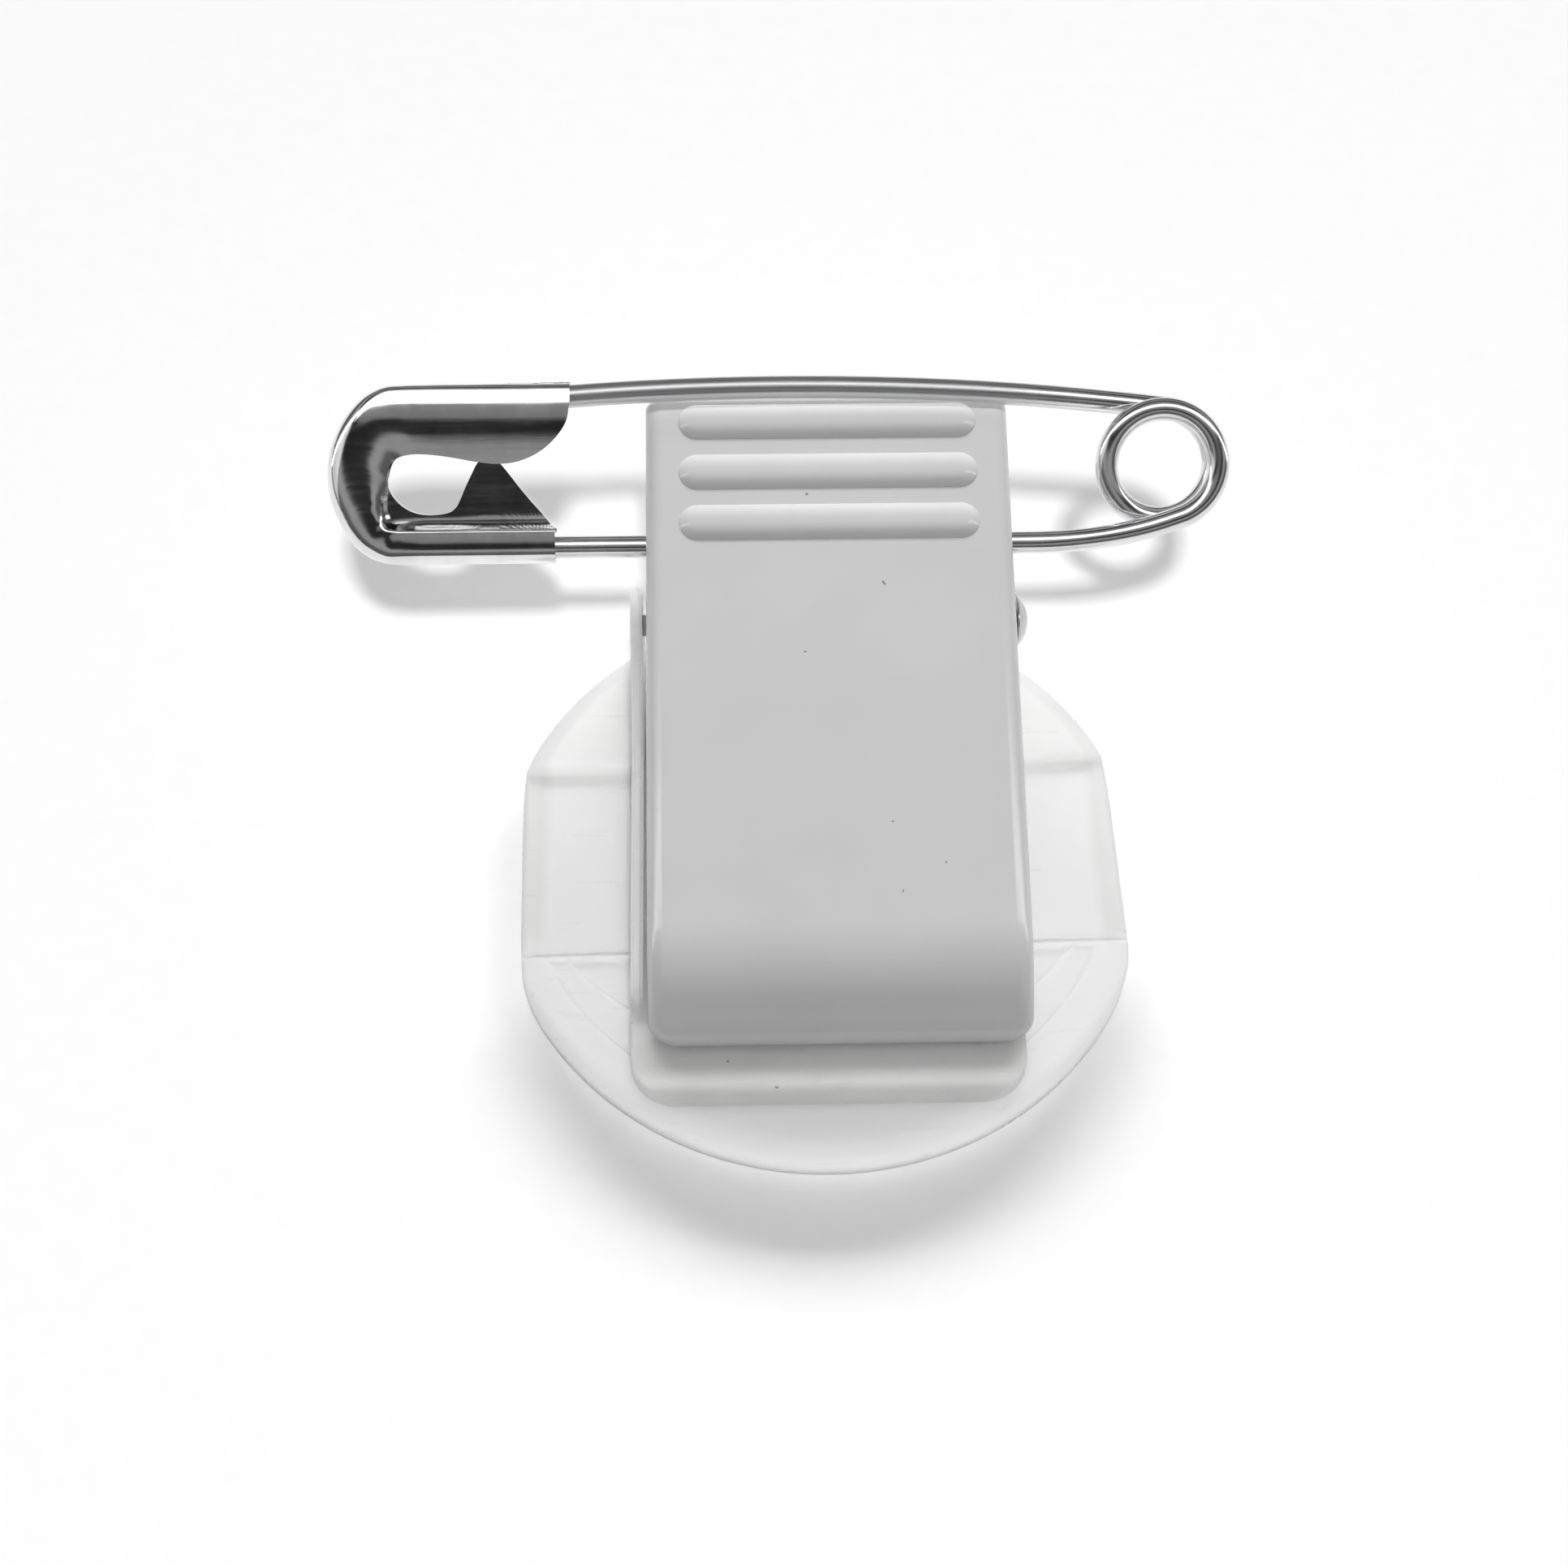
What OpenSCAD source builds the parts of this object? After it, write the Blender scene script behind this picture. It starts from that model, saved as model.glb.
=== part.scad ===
// Swivel clip pin: a lever clip that turns on a round base disc, with a
// bent-wire pin through the lever's rear.
// Millimetres. The origin is the middle of the disc's flat underside, on the
// swivel axis: +X along the pin, +Y towards the pin, +Z away from the disc.

/* [Base disc] */
// Radius of the disc
disc_r = 13.5; // [13.3:0.1:15]
// Half the width across the disc's two straight sides
disc_half_w = 12.53; // [12:0.01:13]
// Turn of the disc on its swivel, in degrees
disc_turn = 1; // [-180:1:180]
// Thickness of the disc's slab
disc_t = 0.9; // [0.7:0.05:0.9]
// Height of the two raised fields over the slab
field_h = 0.4; // [0.2:0.05:0.4]
// Width of the sloping rim round the raised fields
rim_w = 1.2; // [0.8:0.1:1.5]
// Edge of the rear field, measured from the middle
rear_field_y = 4.92; // [4.5:0.01:6]
// Edge of the front field, measured from the middle
front_field_y = 4.0; // [3.8:0.1:5]
// Depth of the hollow in the front field
hollow_depth = 0.2; // [0.1:0.05:0.2]

/* [Swivel stud] */
// Radius of the boss that lifts the jaw off the disc
boss_r = 3.6; // [3:0.1:3.7]
// Radius of the stud's shank
stud_r = 2.5; // [2:0.1:2.6]
// Radius of the stud's spread head
stud_head_r = 3.2; // [3:0.1:3.4]
// Thickness of the stud's spread head
stud_head_t = 0.6; // [0.4:0.05:0.7]

/* [Back jaw] */
// Half the width of the jaw
jaw_half_w = 7.85; // [7.8:0.05:8]
// Thickness of the jaw's floor
jaw_t = 0.8; // [0.7:0.05:0.8]
// Front edge of the jaw, in front of the middle
jaw_front_y = 11.1; // [10.9:0.1:11.6]
// Radius of the jaw's front corners
jaw_corner_r = 1.8; // [1:0.1:2]
// Rear edge of the jaw's tail
tail_y = 15; // [13.5:0.1:15.5]
// Half the width of the jaw's tail
tail_half_w = 6.5; // [5:0.1:7]
// Thickness of the side walls
wall_t = 0.5; // [0.4:0.05:0.5]
// Height of the side walls at the front, over the jaw's underside
wall_h = 1.7; // [1.2:0.1:1.8]
// Radius of the ears that hold the axle
ear_r = 1.45; // [1.2:0.05:1.45]
// How far the ears stand behind the axle
ear_back = 0.2; // [0:0.05:0.2]

/* [Lever] */
// Half the width of the lever's plate
lever_half_w = 7.65; // [7.5:0.05:7.7]
// Thickness of the lever's plate
lever_t = 1.0; // [0.9:0.05:1]
// How far the lever has slid along its axle
lever_x = 0.5; // [0.3:0.05:0.5]
// Slope of the lever's plate, in degrees
lever_slope = 14.04; // [14:0.01:14.3]
// Height of the lever's top over the disc's middle
lever_z = 6.45; // [6.4:0.01:6.6]
// Rear edge of the lever
lever_rear_y = 17.3; // [16.8:0.1:17.3]
// Where the nose starts to curve down, in front of the middle
nose_y = 5.0; // [4.8:0.1:5.2]
// Radius of the first curve of the nose
nose_r = 8; // [7.8:0.1:8.2]
// Radius of the last curve of the nose
tip_r = 2.6; // [2.4:0.1:2.8]
// Rounding of the lever's top side edges
side_round = 0.8; // [0.5:0.05:0.8]
// Outer half width of the lever's side flanges
flange_half_w = 6.75; // [6.5:0.05:6.75]
// Thickness of the side flanges
flange_t = 0.9; // [0.7:0.05:1]
// Half the length of the grip ribs
rib_half_l = 6.25; // [5:0.05:6.5]
// Width of a grip rib
rib_w = 1.5; // [1.2:0.1:1.6]
// Height of a grip rib
rib_h = 0.4; // [0.2:0.05:0.45]
// Number of grip ribs
rib_count = 3; // [1:1:3]
// Spacing of the grip ribs along Y
rib_pitch = 2.225; // [2:0.025:2.3]
// Middle of the rearmost rib
rib_y = 15.8; // [15.5:0.1:15.8]

/* [Axle and spring] */
// Distance of the axle behind the middle
axle_y = 8.85; // [8.8:0.05:8.9]
// Height of the axle
axle_z = 6.0; // [5.95:0.05:6]
// Radius of the axle
axle_r = 0.45; // [0.4:0.05:0.5]
// Radius of the axle's round head
axle_head_r = 1.15; // [0.9:0.05:1.2]
// Radius of the spring's wire
spring_r = 0.3; // [0.2:0.05:0.3]
// Mean radius of the spring's coil
spring_coil_r = 1.15; // [1.05:0.05:1.15]

/* [Pin wire] */
// Radius of the pin's wire
pin_r = 0.475; // [0.4:0.025:0.475]
// Distance of the pin's fixed arm behind the middle
pin_y = 11.9; // [11.8:0.05:11.9]
// Height of the pin's fixed arm
pin_z = 7.45; // [7.4:0.05:7.45]
// Tilt of the pin's plane, in degrees
pin_tilt = 43; // [42:1:50]
// Mean radius of the pin's coil
coil_r = 2.3; // [2.1:0.05:2.4]
// Middle of the coil along the pin
coil_u = 14.54; // [14.3:0.01:15]
// Middle of the coil over the fixed arm
coil_v = 3.26; // [3.1:0.01:3.3]
// Radius of the needle arm's slow bow
needle_bow_r = 130; // [130:5:160]
// Highest place of the bow, along the pin
needle_apex_u = -1.5; // [-2:0.1:-1]
// Length of the needle's ground point
point_l = 4.5; // [2:0.5:6]

/* [Pin head] */
// Left end of the pin's wire, where the head grips it
grip_u = -17; // [-17.1:0.1:-16.8]
// Radius of the head's round left side
head_r = 3.9; // [3.85:0.05:3.95]
// Middle of that round side along the pin
head_u = -16.6; // [-16.7:0.1:-16.5]
// Middle of that round side over the fixed arm
head_v = 3.1; // [3.1:0.05:3.2]
// Thickness of the head's sheet metal
sheet_t = 0.2; // [0.15:0.01:0.2]
// Half the depth of the head
head_half_d = 0.8; // [0.78:0.01:0.85]
// Radius of the front flap's rounded corner
flap_r = 2.9; // [2.7:0.05:3]
// Radius of the window's round end
window_r = 1.22; // [1:0.01:1.3]
// Right end of the sleeve round the fixed arm
sleeve_end_u = -10.95; // [-11.5:0.05:-10.6]

/* [Hidden] */
$fn = 64;
big = 60;

// Gaps between the pieces
plate_gap = 0.1;
fit_gap = 0.05;
sleeve_gap = 0.015;

// Levels of the disc, the stud and the jaw
field_z = disc_t + field_h;
jaw_z = field_z + plate_gap;
jaw_top = jaw_z + jaw_t;
hollow_r = 13.4;
hollow_mid = [0.2, 4.0];
bevel = 0.3;

// Ears and walls of the jaw
ear_mid = [axle_y + ear_back, axle_z - fit_gap];
wall_front_y = -jaw_front_y + 3.5;
wall_ramp = 1.0;
wall_knee_y = 4;
wall_rise = 0.8;

// Lever: direction, curve middles and lugs, in the Y-Z plane
slope_dir = [cos(lever_slope), sin(lever_slope)];
slope_up = [-sin(lever_slope), cos(lever_slope)];
nose_start = [-nose_y, lever_z - nose_y * tan(lever_slope)];
nose_mid = nose_start - nose_r * slope_up;
nose_turn = 40;
tip_turn = 75;
tip_mid = nose_mid + (nose_r - tip_r) * [-sin(nose_turn), cos(nose_turn)];
tip_gap = 0.08;
curve_overlap = 2;
curve_inset = 0.015;
plate_l = (lever_rear_y + nose_y - lever_t / 2) / slope_dir[0];
axle_lug_r = 1.45;
pin_lug_r = 1.15;
flange_front_y = -5.5;

// Axle head
head_x = jaw_half_w + 0.45;
axle_head_t = 0.55;

// Spring: turns of its coil and its two legs
spring_pitch = 0.65;
spring_leg_l = 2.3;
spring_start = 90 + lever_slope;
spring_end = 235 + 3 * 360;
spring_leg_end_z = jaw_top + spring_r + fit_gap;

// Pin: tangent curves in the pin's own plane
straight_end = 9;
bend_r = (pow(coil_u - straight_end, 2) + pow(coil_v, 2) - pow(coil_r, 2)) / (2 * (coil_v - coil_r));
bend_end = atan2(coil_v - bend_r, coil_u - straight_end);
bow_drop = sqrt(pow(needle_bow_r - coil_r, 2) - pow(coil_u - needle_apex_u, 2));
bow_mid = [needle_apex_u, coil_v - bow_drop];
bow_start = atan2(bow_drop, coil_u - needle_apex_u);
bow_end = acos((grip_u - needle_apex_u) / needle_bow_r);
coil_half_d = 0.8;
needle_level_u = -9;
point_r = 0.08;

// Pin head: edges of the sheet, in the pin's own plane
head_top = head_v + head_r;
flap_mid = [-13.2, 6.4];
window_mid = [-16.7, 2.68];
lower_right_u = -15.1;
sleeve_r = 0.64;
sleeve_start_u = -17.5;

// Turns a shape drawn flat in (Y, Z) upright, with its thickness along X
module side_on() rotate([90, 0, 90]) children();

// Places a shape drawn in the pin's plane: x along the pin, y over its fixed arm
module in_pin_plane() translate([0, pin_y, pin_z]) rotate([pin_tilt, 0, 0]) children();

// Round rod along X through a place in the Y-Z plane
module rod(r, x0, x1, at) translate([x0, at[0], at[1]]) rotate([0, 90, 0]) cylinder(h = x1 - x0, r = r);

// A swept tube: each row of the path is a middle, a direction across the path
// and the radius. That direction crossed with "side" points back along the path.
function ring(row, side, n) =
    [for (i = [0:n - 1]) row[0] + row[2] * (cos(360 * i / n) * row[1] + sin(360 * i / n) * side)];

module sweep(path, side, n) {
    rings = len(path);
    points = [for (row = path) each ring(row, side, n)];
    walls = [for (k = [0:rings - 2]) for (i = [0:n - 1])
        [k * n + i, k * n + (i + 1) % n, (k + 1) * n + (i + 1) % n, (k + 1) * n + i]];
    first_cap = [for (i = [n - 1:-1:0]) i];
    last_cap = [for (i = [0:n - 1]) (rings - 1) * n + i];
    polyhedron(points = points, faces = concat([first_cap, last_cap], walls), convexity = 6);
}

// Base disc

module disc_outline(r, half_w) intersection() {
    circle(r = r, $fn = 180);
    square([2 * half_w, 2 * r], center = true);
}

module raised_field(y0, y1) intersection() {
    translate([0, 0, disc_t - fit_gap])
        cylinder(h = field_h + fit_gap, r1 = disc_r, r2 = disc_r - rim_w, $fn = 180);
    translate([-disc_half_w + bevel, y0, 0]) cube([2 * (disc_half_w - bevel), y1 - y0, field_z]);
}

module swivel_stud() {
    cylinder(h = jaw_z - fit_gap, r = boss_r);
    cylinder(h = jaw_top + plate_gap + stud_head_t, r = stud_r);
    translate([0, 0, jaw_top + plate_gap]) cylinder(h = stud_head_t, r = stud_head_r);
}

module base_plate() color([0.93, 0.93, 0.92]) {
    rotate([0, 0, disc_turn]) difference() {
        union() {
            linear_extrude(disc_t) disc_outline(disc_r, disc_half_w);
            raised_field(rear_field_y, disc_r);
            raised_field(-disc_r, -front_field_y);
        }
        intersection() {
            translate([hollow_mid[0], hollow_mid[1], field_z - hollow_depth])
                cylinder(h = big, r = hollow_r, $fn = 180);
            translate([-disc_half_w + 2 * rim_w, -disc_r, 0])
                cube([2 * (disc_half_w - 2 * rim_w), disc_r - front_field_y - rim_w, big]);
        }
    }
    swivel_stud();
}

// Back jaw

module jaw_outline() {
    lip_y = -jaw_front_y + jaw_corner_r;
    translate([-jaw_half_w, lip_y]) square([2 * jaw_half_w, ear_mid[0] + ear_r - lip_y]);
    translate([-jaw_half_w + jaw_corner_r, -jaw_front_y])
        square([2 * (jaw_half_w - jaw_corner_r), jaw_corner_r]);
    for (s = [-1, 1]) translate([s * (jaw_half_w - jaw_corner_r), lip_y]) circle(r = jaw_corner_r);
    translate([-tail_half_w, 0]) square([2 * tail_half_w, tail_y]);
}

// Side view of the floor, with its front edge rounded down
module jaw_floor_profile() {
    translate([-jaw_front_y + jaw_t, jaw_z]) square([jaw_front_y - jaw_t + tail_y, jaw_t]);
    translate([-jaw_front_y + jaw_t, jaw_z]) intersection() {
        circle(r = jaw_t);
        translate([-jaw_t, 0]) square([jaw_t, jaw_t]);
    }
}

module jaw_wall_profile() {
    wall_top = jaw_z + wall_h;
    ear_rear = ear_mid[0] + ear_r;
    polygon([
        [wall_front_y, jaw_z], [wall_front_y, jaw_top], [wall_front_y + wall_ramp, wall_top],
        [wall_knee_y, wall_top + wall_rise], [ear_mid[0] - ear_r, ear_mid[1]],
        [ear_rear, ear_mid[1]], [ear_rear, jaw_z]
    ]);
    translate(ear_mid) circle(r = ear_r);
}

module back_jaw() color([0.95, 0.95, 0.94]) difference() {
    union() {
        intersection() {
            linear_extrude(big) jaw_outline();
            translate([-big / 2, 0, 0]) side_on() linear_extrude(big) jaw_floor_profile();
        }
        for (x = [-jaw_half_w, jaw_half_w - wall_t])
            translate([x, 0, 0]) side_on() linear_extrude(wall_t) jaw_wall_profile();
    }
    cylinder(h = big, r = stud_r + fit_gap);
    rod(axle_r + fit_gap, -big / 2, big / 2, [axle_y, axle_z]);
}

// Lever

// Cross-section of the plate: x across, top at y = 0, upper edges rounded. An
// inset makes it smaller all round, so that it ends inside a full one.
module lever_section(inset) {
    half_w = lever_half_w - inset;
    low = inset - lever_t;
    flat_half_w = lever_half_w - side_round;
    translate([-half_w, low]) square([2 * half_w, -side_round - low]);
    translate([-flat_half_w, low]) square([2 * flat_half_w, -inset - low]);
    for (s = [-1, 1]) translate([s * flat_half_w, -side_round]) intersection() {
        circle(r = side_round - inset);
        translate([-half_w, 0]) square([2 * half_w, side_round]);
    }
}

// The section carried round a curve of the nose, between two directions
module nose_curve(mid, r, from, to, inset)
    translate([lever_x, 0, 0]) side_on() translate(mid) rotate([0, 0, 90 + from])
        rotate_extrude(angle = to - from, $fn = 128) translate([r, 0]) rotate(-90) lever_section(inset);

module lever_plate() {
    translate([lever_x, 0, 0]) side_on() translate(nose_start) rotate([0, 0, lever_slope]) {
        rotate([0, 90, 0]) linear_extrude(plate_l) lever_section(0);
        translate([plate_l, -lever_t / 2, -lever_half_w + side_round])
            cylinder(h = 2 * (lever_half_w - side_round), r = lever_t / 2 - curve_inset);
    }
    nose_curve(nose_mid, nose_r, lever_slope - curve_overlap, nose_turn, curve_inset);
    nose_curve(tip_mid, tip_r, nose_turn - curve_overlap, tip_turn, 2 * curve_inset);
}

// A low round-topped rib across the lever, with round ends
module grip_rib(y) {
    crown_r = (pow(rib_w / 2, 2) + pow(rib_h, 2)) / (2 * rib_h);
    end_x = rib_half_l - rib_w / 2;
    translate([lever_x, y, lever_z + y * tan(lever_slope)]) rotate([lever_slope, 0, 0]) intersection() {
        translate([0, 0, rib_h - crown_r]) {
            rod(crown_r, -end_x, end_x, [0, 0]);
            for (s = [-1, 1]) translate([s * end_x, 0, 0]) sphere(r = crown_r);
        }
        translate([-rib_half_l - rib_w, -rib_w, -lever_t / 2])
            cube([2 * (rib_half_l + rib_w), 2 * rib_w, lever_t]);
    }
}

// Side view of a flange, with a lug at the axle and one at the pin
module flange_profile() {
    under = lever_z - lever_t / slope_dir[0] + lever_t / 4;
    rise = tan(lever_slope);
    rear_y = pin_y + pin_lug_r;
    polygon([
        [flange_front_y, under + flange_front_y * rise], [flange_front_y, 3.4],
        [axle_y - axle_lug_r, axle_z - 0.7], [axle_y, axle_z - 1],
        [rear_y, pin_z], [rear_y, under + rear_y * rise]
    ]);
    translate([axle_y, axle_z]) circle(r = axle_lug_r);
    translate([pin_y, pin_z]) circle(r = pin_lug_r);
}

module lever() color([0.84, 0.84, 0.85]) difference() {
    union() {
        lever_plate();
        for (i = [0:rib_count - 1]) grip_rib(rib_y - i * rib_pitch);
        for (x = [-flange_half_w, flange_half_w - flange_t])
            translate([lever_x + x, 0, 0]) side_on() linear_extrude(flange_t) flange_profile();
    }
    translate([-big / 2, -big, jaw_top + tip_gap - big]) cube([big, big, big]);
    rod(axle_r + fit_gap, -big / 2, big / 2, [axle_y, axle_z]);
    rod(pin_r + fit_gap, -big / 2, big / 2, [pin_y, pin_z]);
}

// Axle rivet and spring

module axle_rivet() color([0.78, 0.78, 0.79]) {
    rod(axle_r, -jaw_half_w + fit_gap, head_x, [axle_y, axle_z]);
    crown_r = (pow(axle_head_r, 2) + pow(axle_head_t, 2)) / (2 * axle_head_t);
    intersection() {
        translate([head_x + axle_head_t - crown_r, axle_y, axle_z]) sphere(r = crown_r);
        rod(axle_head_r, head_x, head_x + axle_head_t, [axle_y, axle_z]);
    }
}

function axle_side(turn) = [0, cos(turn), sin(turn)];
function axle_point(x, r, turn) = [x, axle_y, axle_z] + r * axle_side(turn);

// The spring's coil, then its two straight legs along the coil's tangents
function spring_path() =
    let (turns = (spring_end - spring_start) / 360,
         x0 = lever_x + turns * spring_pitch / 2,
         steps = 52,
         top = axle_side(spring_start - 90),
         low = axle_side(spring_end + 90),
         first = axle_point(x0, spring_coil_r, spring_start),
         last = axle_point(x0 - turns * spring_pitch, spring_coil_r, spring_end),
         low_l = (last[2] - spring_leg_end_z) / -low[2])
    concat(
        [[first + spring_leg_l * top, axle_side(spring_start), spring_r]],
        [for (i = [0:steps]) let (turn = spring_start + (spring_end - spring_start) * i / steps)
            [axle_point(x0 - turns * spring_pitch * i / steps, spring_coil_r, turn), axle_side(turn), spring_r]],
        [[last + low_l * low, axle_side(spring_end), spring_r]]
    );

module clip_spring() color([0.6, 0.6, 0.62]) sweep(spring_path(), [1, 0, 0], 8);

// Pin

function plane_dir(turn) = [cos(turn), sin(turn), 0];
function plane_point(mid, r, turn, w) = [mid[0] + r * cos(turn), mid[1] + r * sin(turn), w];
function ease(s) = s * s * (3 - 2 * s);

// Bend out of the fixed arm, one and a half turns of coil, then the bowed needle
function pin_path() =
    let (bends = 10, turns = 44, bows = 24,
         coil_turn = 360 + bow_start - bend_end,
         needle_side = coil_u + coil_r * cos(bow_start))
    concat(
        [for (i = [0:bends - 1]) let (s = i / bends, turn = -90 + (90 + bend_end) * s)
            [plane_point([straight_end, bend_r], bend_r, turn, coil_half_d * ease(min(1, 1.25 * s))),
                -plane_dir(turn), i == 0 ? pin_r - 0.01 : pin_r]],
        [for (i = [0:turns]) let (turn = bend_end + coil_turn * i / turns)
            [plane_point([coil_u, coil_v], coil_r, turn, coil_half_d * (1 - 2 * i / turns)),
                -plane_dir(turn), pin_r]],
        [for (i = [1:bows])
            let (turn = bow_start + (bow_end - bow_start) * i / bows,
                 at = plane_point(bow_mid, needle_bow_r, turn, 0),
                 far = max(0, (at[0] - needle_level_u) / (needle_side - needle_level_u)),
                 sharp = min(1, (at[0] - grip_u) / point_l))
            [at - [0, 0, coil_half_d * pow(far, 1.5)], -plane_dir(turn), point_r + (pin_r - point_r) * sqrt(sharp)]]
    );

module pin_wire() color([0.8, 0.8, 0.81]) in_pin_plane() {
    rod(pin_r, grip_u, straight_end + 0.15, [0, 0]);
    sweep(pin_path(), [0, 0, -1], 12);
}

// Pin head

// The part of the head that has the same outline in front and behind
module head_outline() difference() {
    union() {
        intersection() {
            translate([head_u, head_v]) circle(r = head_r, $fn = 96);
            translate([head_u - head_r, head_v - head_r]) square([head_r, 2 * head_r]);
        }
        translate([head_u, window_mid[1] + window_r])
            square([flap_mid[0] - head_u, head_top - window_mid[1] - window_r]);
        intersection() {
            translate(flap_mid) circle(r = flap_r);
            translate([flap_mid[0] - flap_r, 0]) square([2 * flap_r, head_top]);
        }
        translate([head_u, 0]) square([lower_right_u - head_u, window_mid[1] - window_r]);
    }
    translate(window_mid) circle(r = window_r);
}

// Triangular tab that rises behind the flap
module tab_outline() polygon([
    [lower_right_u, 0], [lower_right_u, 1.7], [-14.14, 3.7], [-13.33, 3.7], [-12.13, 1.95],
    [sleeve_end_u, 0.47], [sleeve_end_u, 0]
]);

// Bent edge that joins front and back, round the left side and along the top
module rim_outline() {
    inner_r = head_r - sheet_t;
    intersection() {
        translate([head_u, head_v]) difference() {
            circle(r = head_r, $fn = 96);
            circle(r = inner_r, $fn = 96);
        }
        translate([head_u - head_r, head_v - head_r]) square([head_r, 2 * head_r]);
    }
    translate([head_u, head_top - sheet_t]) square([flap_mid[0] + flap_r - head_u - 0.1, sheet_t]);
}

module pin_head() color([0.8, 0.8, 0.81]) in_pin_plane() difference() {
    union() {
        translate([0, 0, head_half_d - sheet_t]) linear_extrude(sheet_t) head_outline();
        translate([0, 0, -head_half_d]) linear_extrude(sheet_t) {
            head_outline();
            tab_outline();
        }
        translate([0, 0, -head_half_d]) linear_extrude(2 * head_half_d) rim_outline();
        rod(sleeve_r, sleeve_start_u, sleeve_end_u, [0, 0]);
    }
    rod(pin_r + sleeve_gap, grip_u - fit_gap, sleeve_end_u + 1, [0, 0]);
}

base_plate();
back_jaw();
lever();
axle_rivet();
clip_spring();
pin_wire();
pin_head();
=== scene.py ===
import math
from contextlib import contextmanager

import bmesh
import bpy
import numpy as np
from mathutils import Matrix, Vector


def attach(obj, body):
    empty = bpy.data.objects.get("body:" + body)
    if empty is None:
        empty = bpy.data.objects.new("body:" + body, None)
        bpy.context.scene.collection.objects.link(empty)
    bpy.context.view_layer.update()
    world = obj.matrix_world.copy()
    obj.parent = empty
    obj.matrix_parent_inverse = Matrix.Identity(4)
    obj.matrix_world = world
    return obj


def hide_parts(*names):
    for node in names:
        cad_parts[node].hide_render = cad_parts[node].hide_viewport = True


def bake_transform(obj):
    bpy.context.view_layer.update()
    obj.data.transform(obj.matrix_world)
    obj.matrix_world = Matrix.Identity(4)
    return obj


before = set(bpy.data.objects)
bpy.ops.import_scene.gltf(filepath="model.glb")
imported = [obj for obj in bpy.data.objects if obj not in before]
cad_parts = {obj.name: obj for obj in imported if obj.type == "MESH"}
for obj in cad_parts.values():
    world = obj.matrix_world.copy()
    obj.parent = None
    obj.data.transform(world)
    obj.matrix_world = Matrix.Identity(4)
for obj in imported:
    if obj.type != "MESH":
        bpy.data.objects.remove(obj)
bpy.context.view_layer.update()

# Sizes are in millimetres unless a name says otherwise. X runs along the pin,
# Y from the nose towards the pin, Z up from the base disc's underside.
MM = 0.001

# Smallest sizes: a sliver that is dropped, the gap between a slab's rows, and the step between
# two joined faces, which keeps them out of one plane
SLIVER = 0.002
ROW_GAP = 0.004
JOIN_GAP = 0.002

# Base disc
DISC_R = 13.5
DISC_HALF_W = 12.53
DISC_TURN = math.radians(1.0)
DISC_CORNER = 0.9
CORNER_FLAT = 6.0
DISC_HALF_COLUMNS = 72
SLAB_Z = 0.9
FIELD_RISE = 0.4
REAR_FIELD_Y = 4.92
FRONT_FIELD_Y = -4.0
FIELD_STEP = 0.35
RIM_W = 1.1
RIM_ROUND = 2.0
DISC_EDGE_ROUND = 0.3
DISC_FOOT = 0.12
# The front field's hollow and groove, and the thin lines that stand up along their edges
HOLLOW_DEPTH = 0.2
HOLLOW_MID = (-0.23, 4.32)
HOLLOW_R = 13.45
GROOVE_DEPTH = 0.12
GROOVE_MID = (-0.15, 0.88)
GROOVE_R = 12.39
LINE_W = 0.3
LINE_H = 0.08
LINE_CREST = 0.3
LINE_SIDE_X = 6.5
LINE_FADE = 3.0
STEP_FOOT = 0.25
STEP_FOOT_W = 0.1

# Stud that the jaw turns on: radius, height
STUD_PROFILE = [(3.6, 0.5), (3.6, 1.31), (3.56, 1.35), (2.5, 1.35), (2.5, 2.3), (3.1, 2.3), (3.2, 2.4),
                (3.2, 2.75), (3.0, 2.9), (1.0, 2.9), (0.8, 2.78)]

# Back jaw
JAW_HALF_W = 7.85
JAW_T = 0.8
JAW_Z = 1.4
JAW_TOP = JAW_Z + JAW_T
JAW_FRONT_Y = -11.1
JAW_REAR_Y = 10.5
JAW_SIDE_R = 0.18
JAW_LOW_R = 0.1
TAIL_Y = 15.0
TAIL_HALF_W = 6.5
WALL_T = 0.5
WALL_FRONT_Y = -7.6
WALL_RAMP = 1.0
WALL_TOP = 3.1
WALL_KNEE = (4.0, 3.9)
WALL_FOOT = 0.02
WALL_EDGE = 0.14
EAR_MID = (9.05, 5.95)
EAR_R = 1.45
EAR_FROM = math.radians(172)
STUD_HOLE_R = 2.55
# How a slab's rear and front ends are rounded: corners seen from above, upper edge, lower edge
JAW_ENDS = [(0.1, 0.1, 0.1), (1.8, 0.7, 0.05)]
TAIL_ENDS = [(1.0, 0.25, 0.1), (0.1, 0.1, 0.1)]
LEVER_ENDS = [(0.4, 0.35, 0.3), (0.95, 0.32, 0.2)]

# Lever
LEVER_X = 0.5
LEVER_HALF_W = 7.65
LEVER_T = 1.0
LEVER_SLOPE = math.radians(14.04)
LEVER_Z = 6.45
LEVER_REAR_Y = 17.3
NOSE_Y = -5.0
NOSE_R = 8.0
NOSE_TURN = math.radians(40.0)
TIP_R = 2.6
TIP_TURN = math.radians(75.0)
TIP_Z = JAW_TOP + 0.08
TIP_CUT_Y = (-14.0, -6.0)
SIDE_ROUND = 0.95
LEVER_LOW_R = 0.12
FLANGE_HALF_W = 6.75
FLANGE_T = 0.9
FLANGE_FRONT_Y = -5.5
FLANGE_LOW_Z = 3.35
FLANGE_CORNER = (0.3, 0.25)
FLANGE_SINK = 0.3
FLANGE_EDGE = 0.12
AXLE_LUG_R = 1.45
AXLE_LUG_SPAN = (math.radians(208), math.radians(318))
PIN_LUG_R = 1.15
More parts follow.
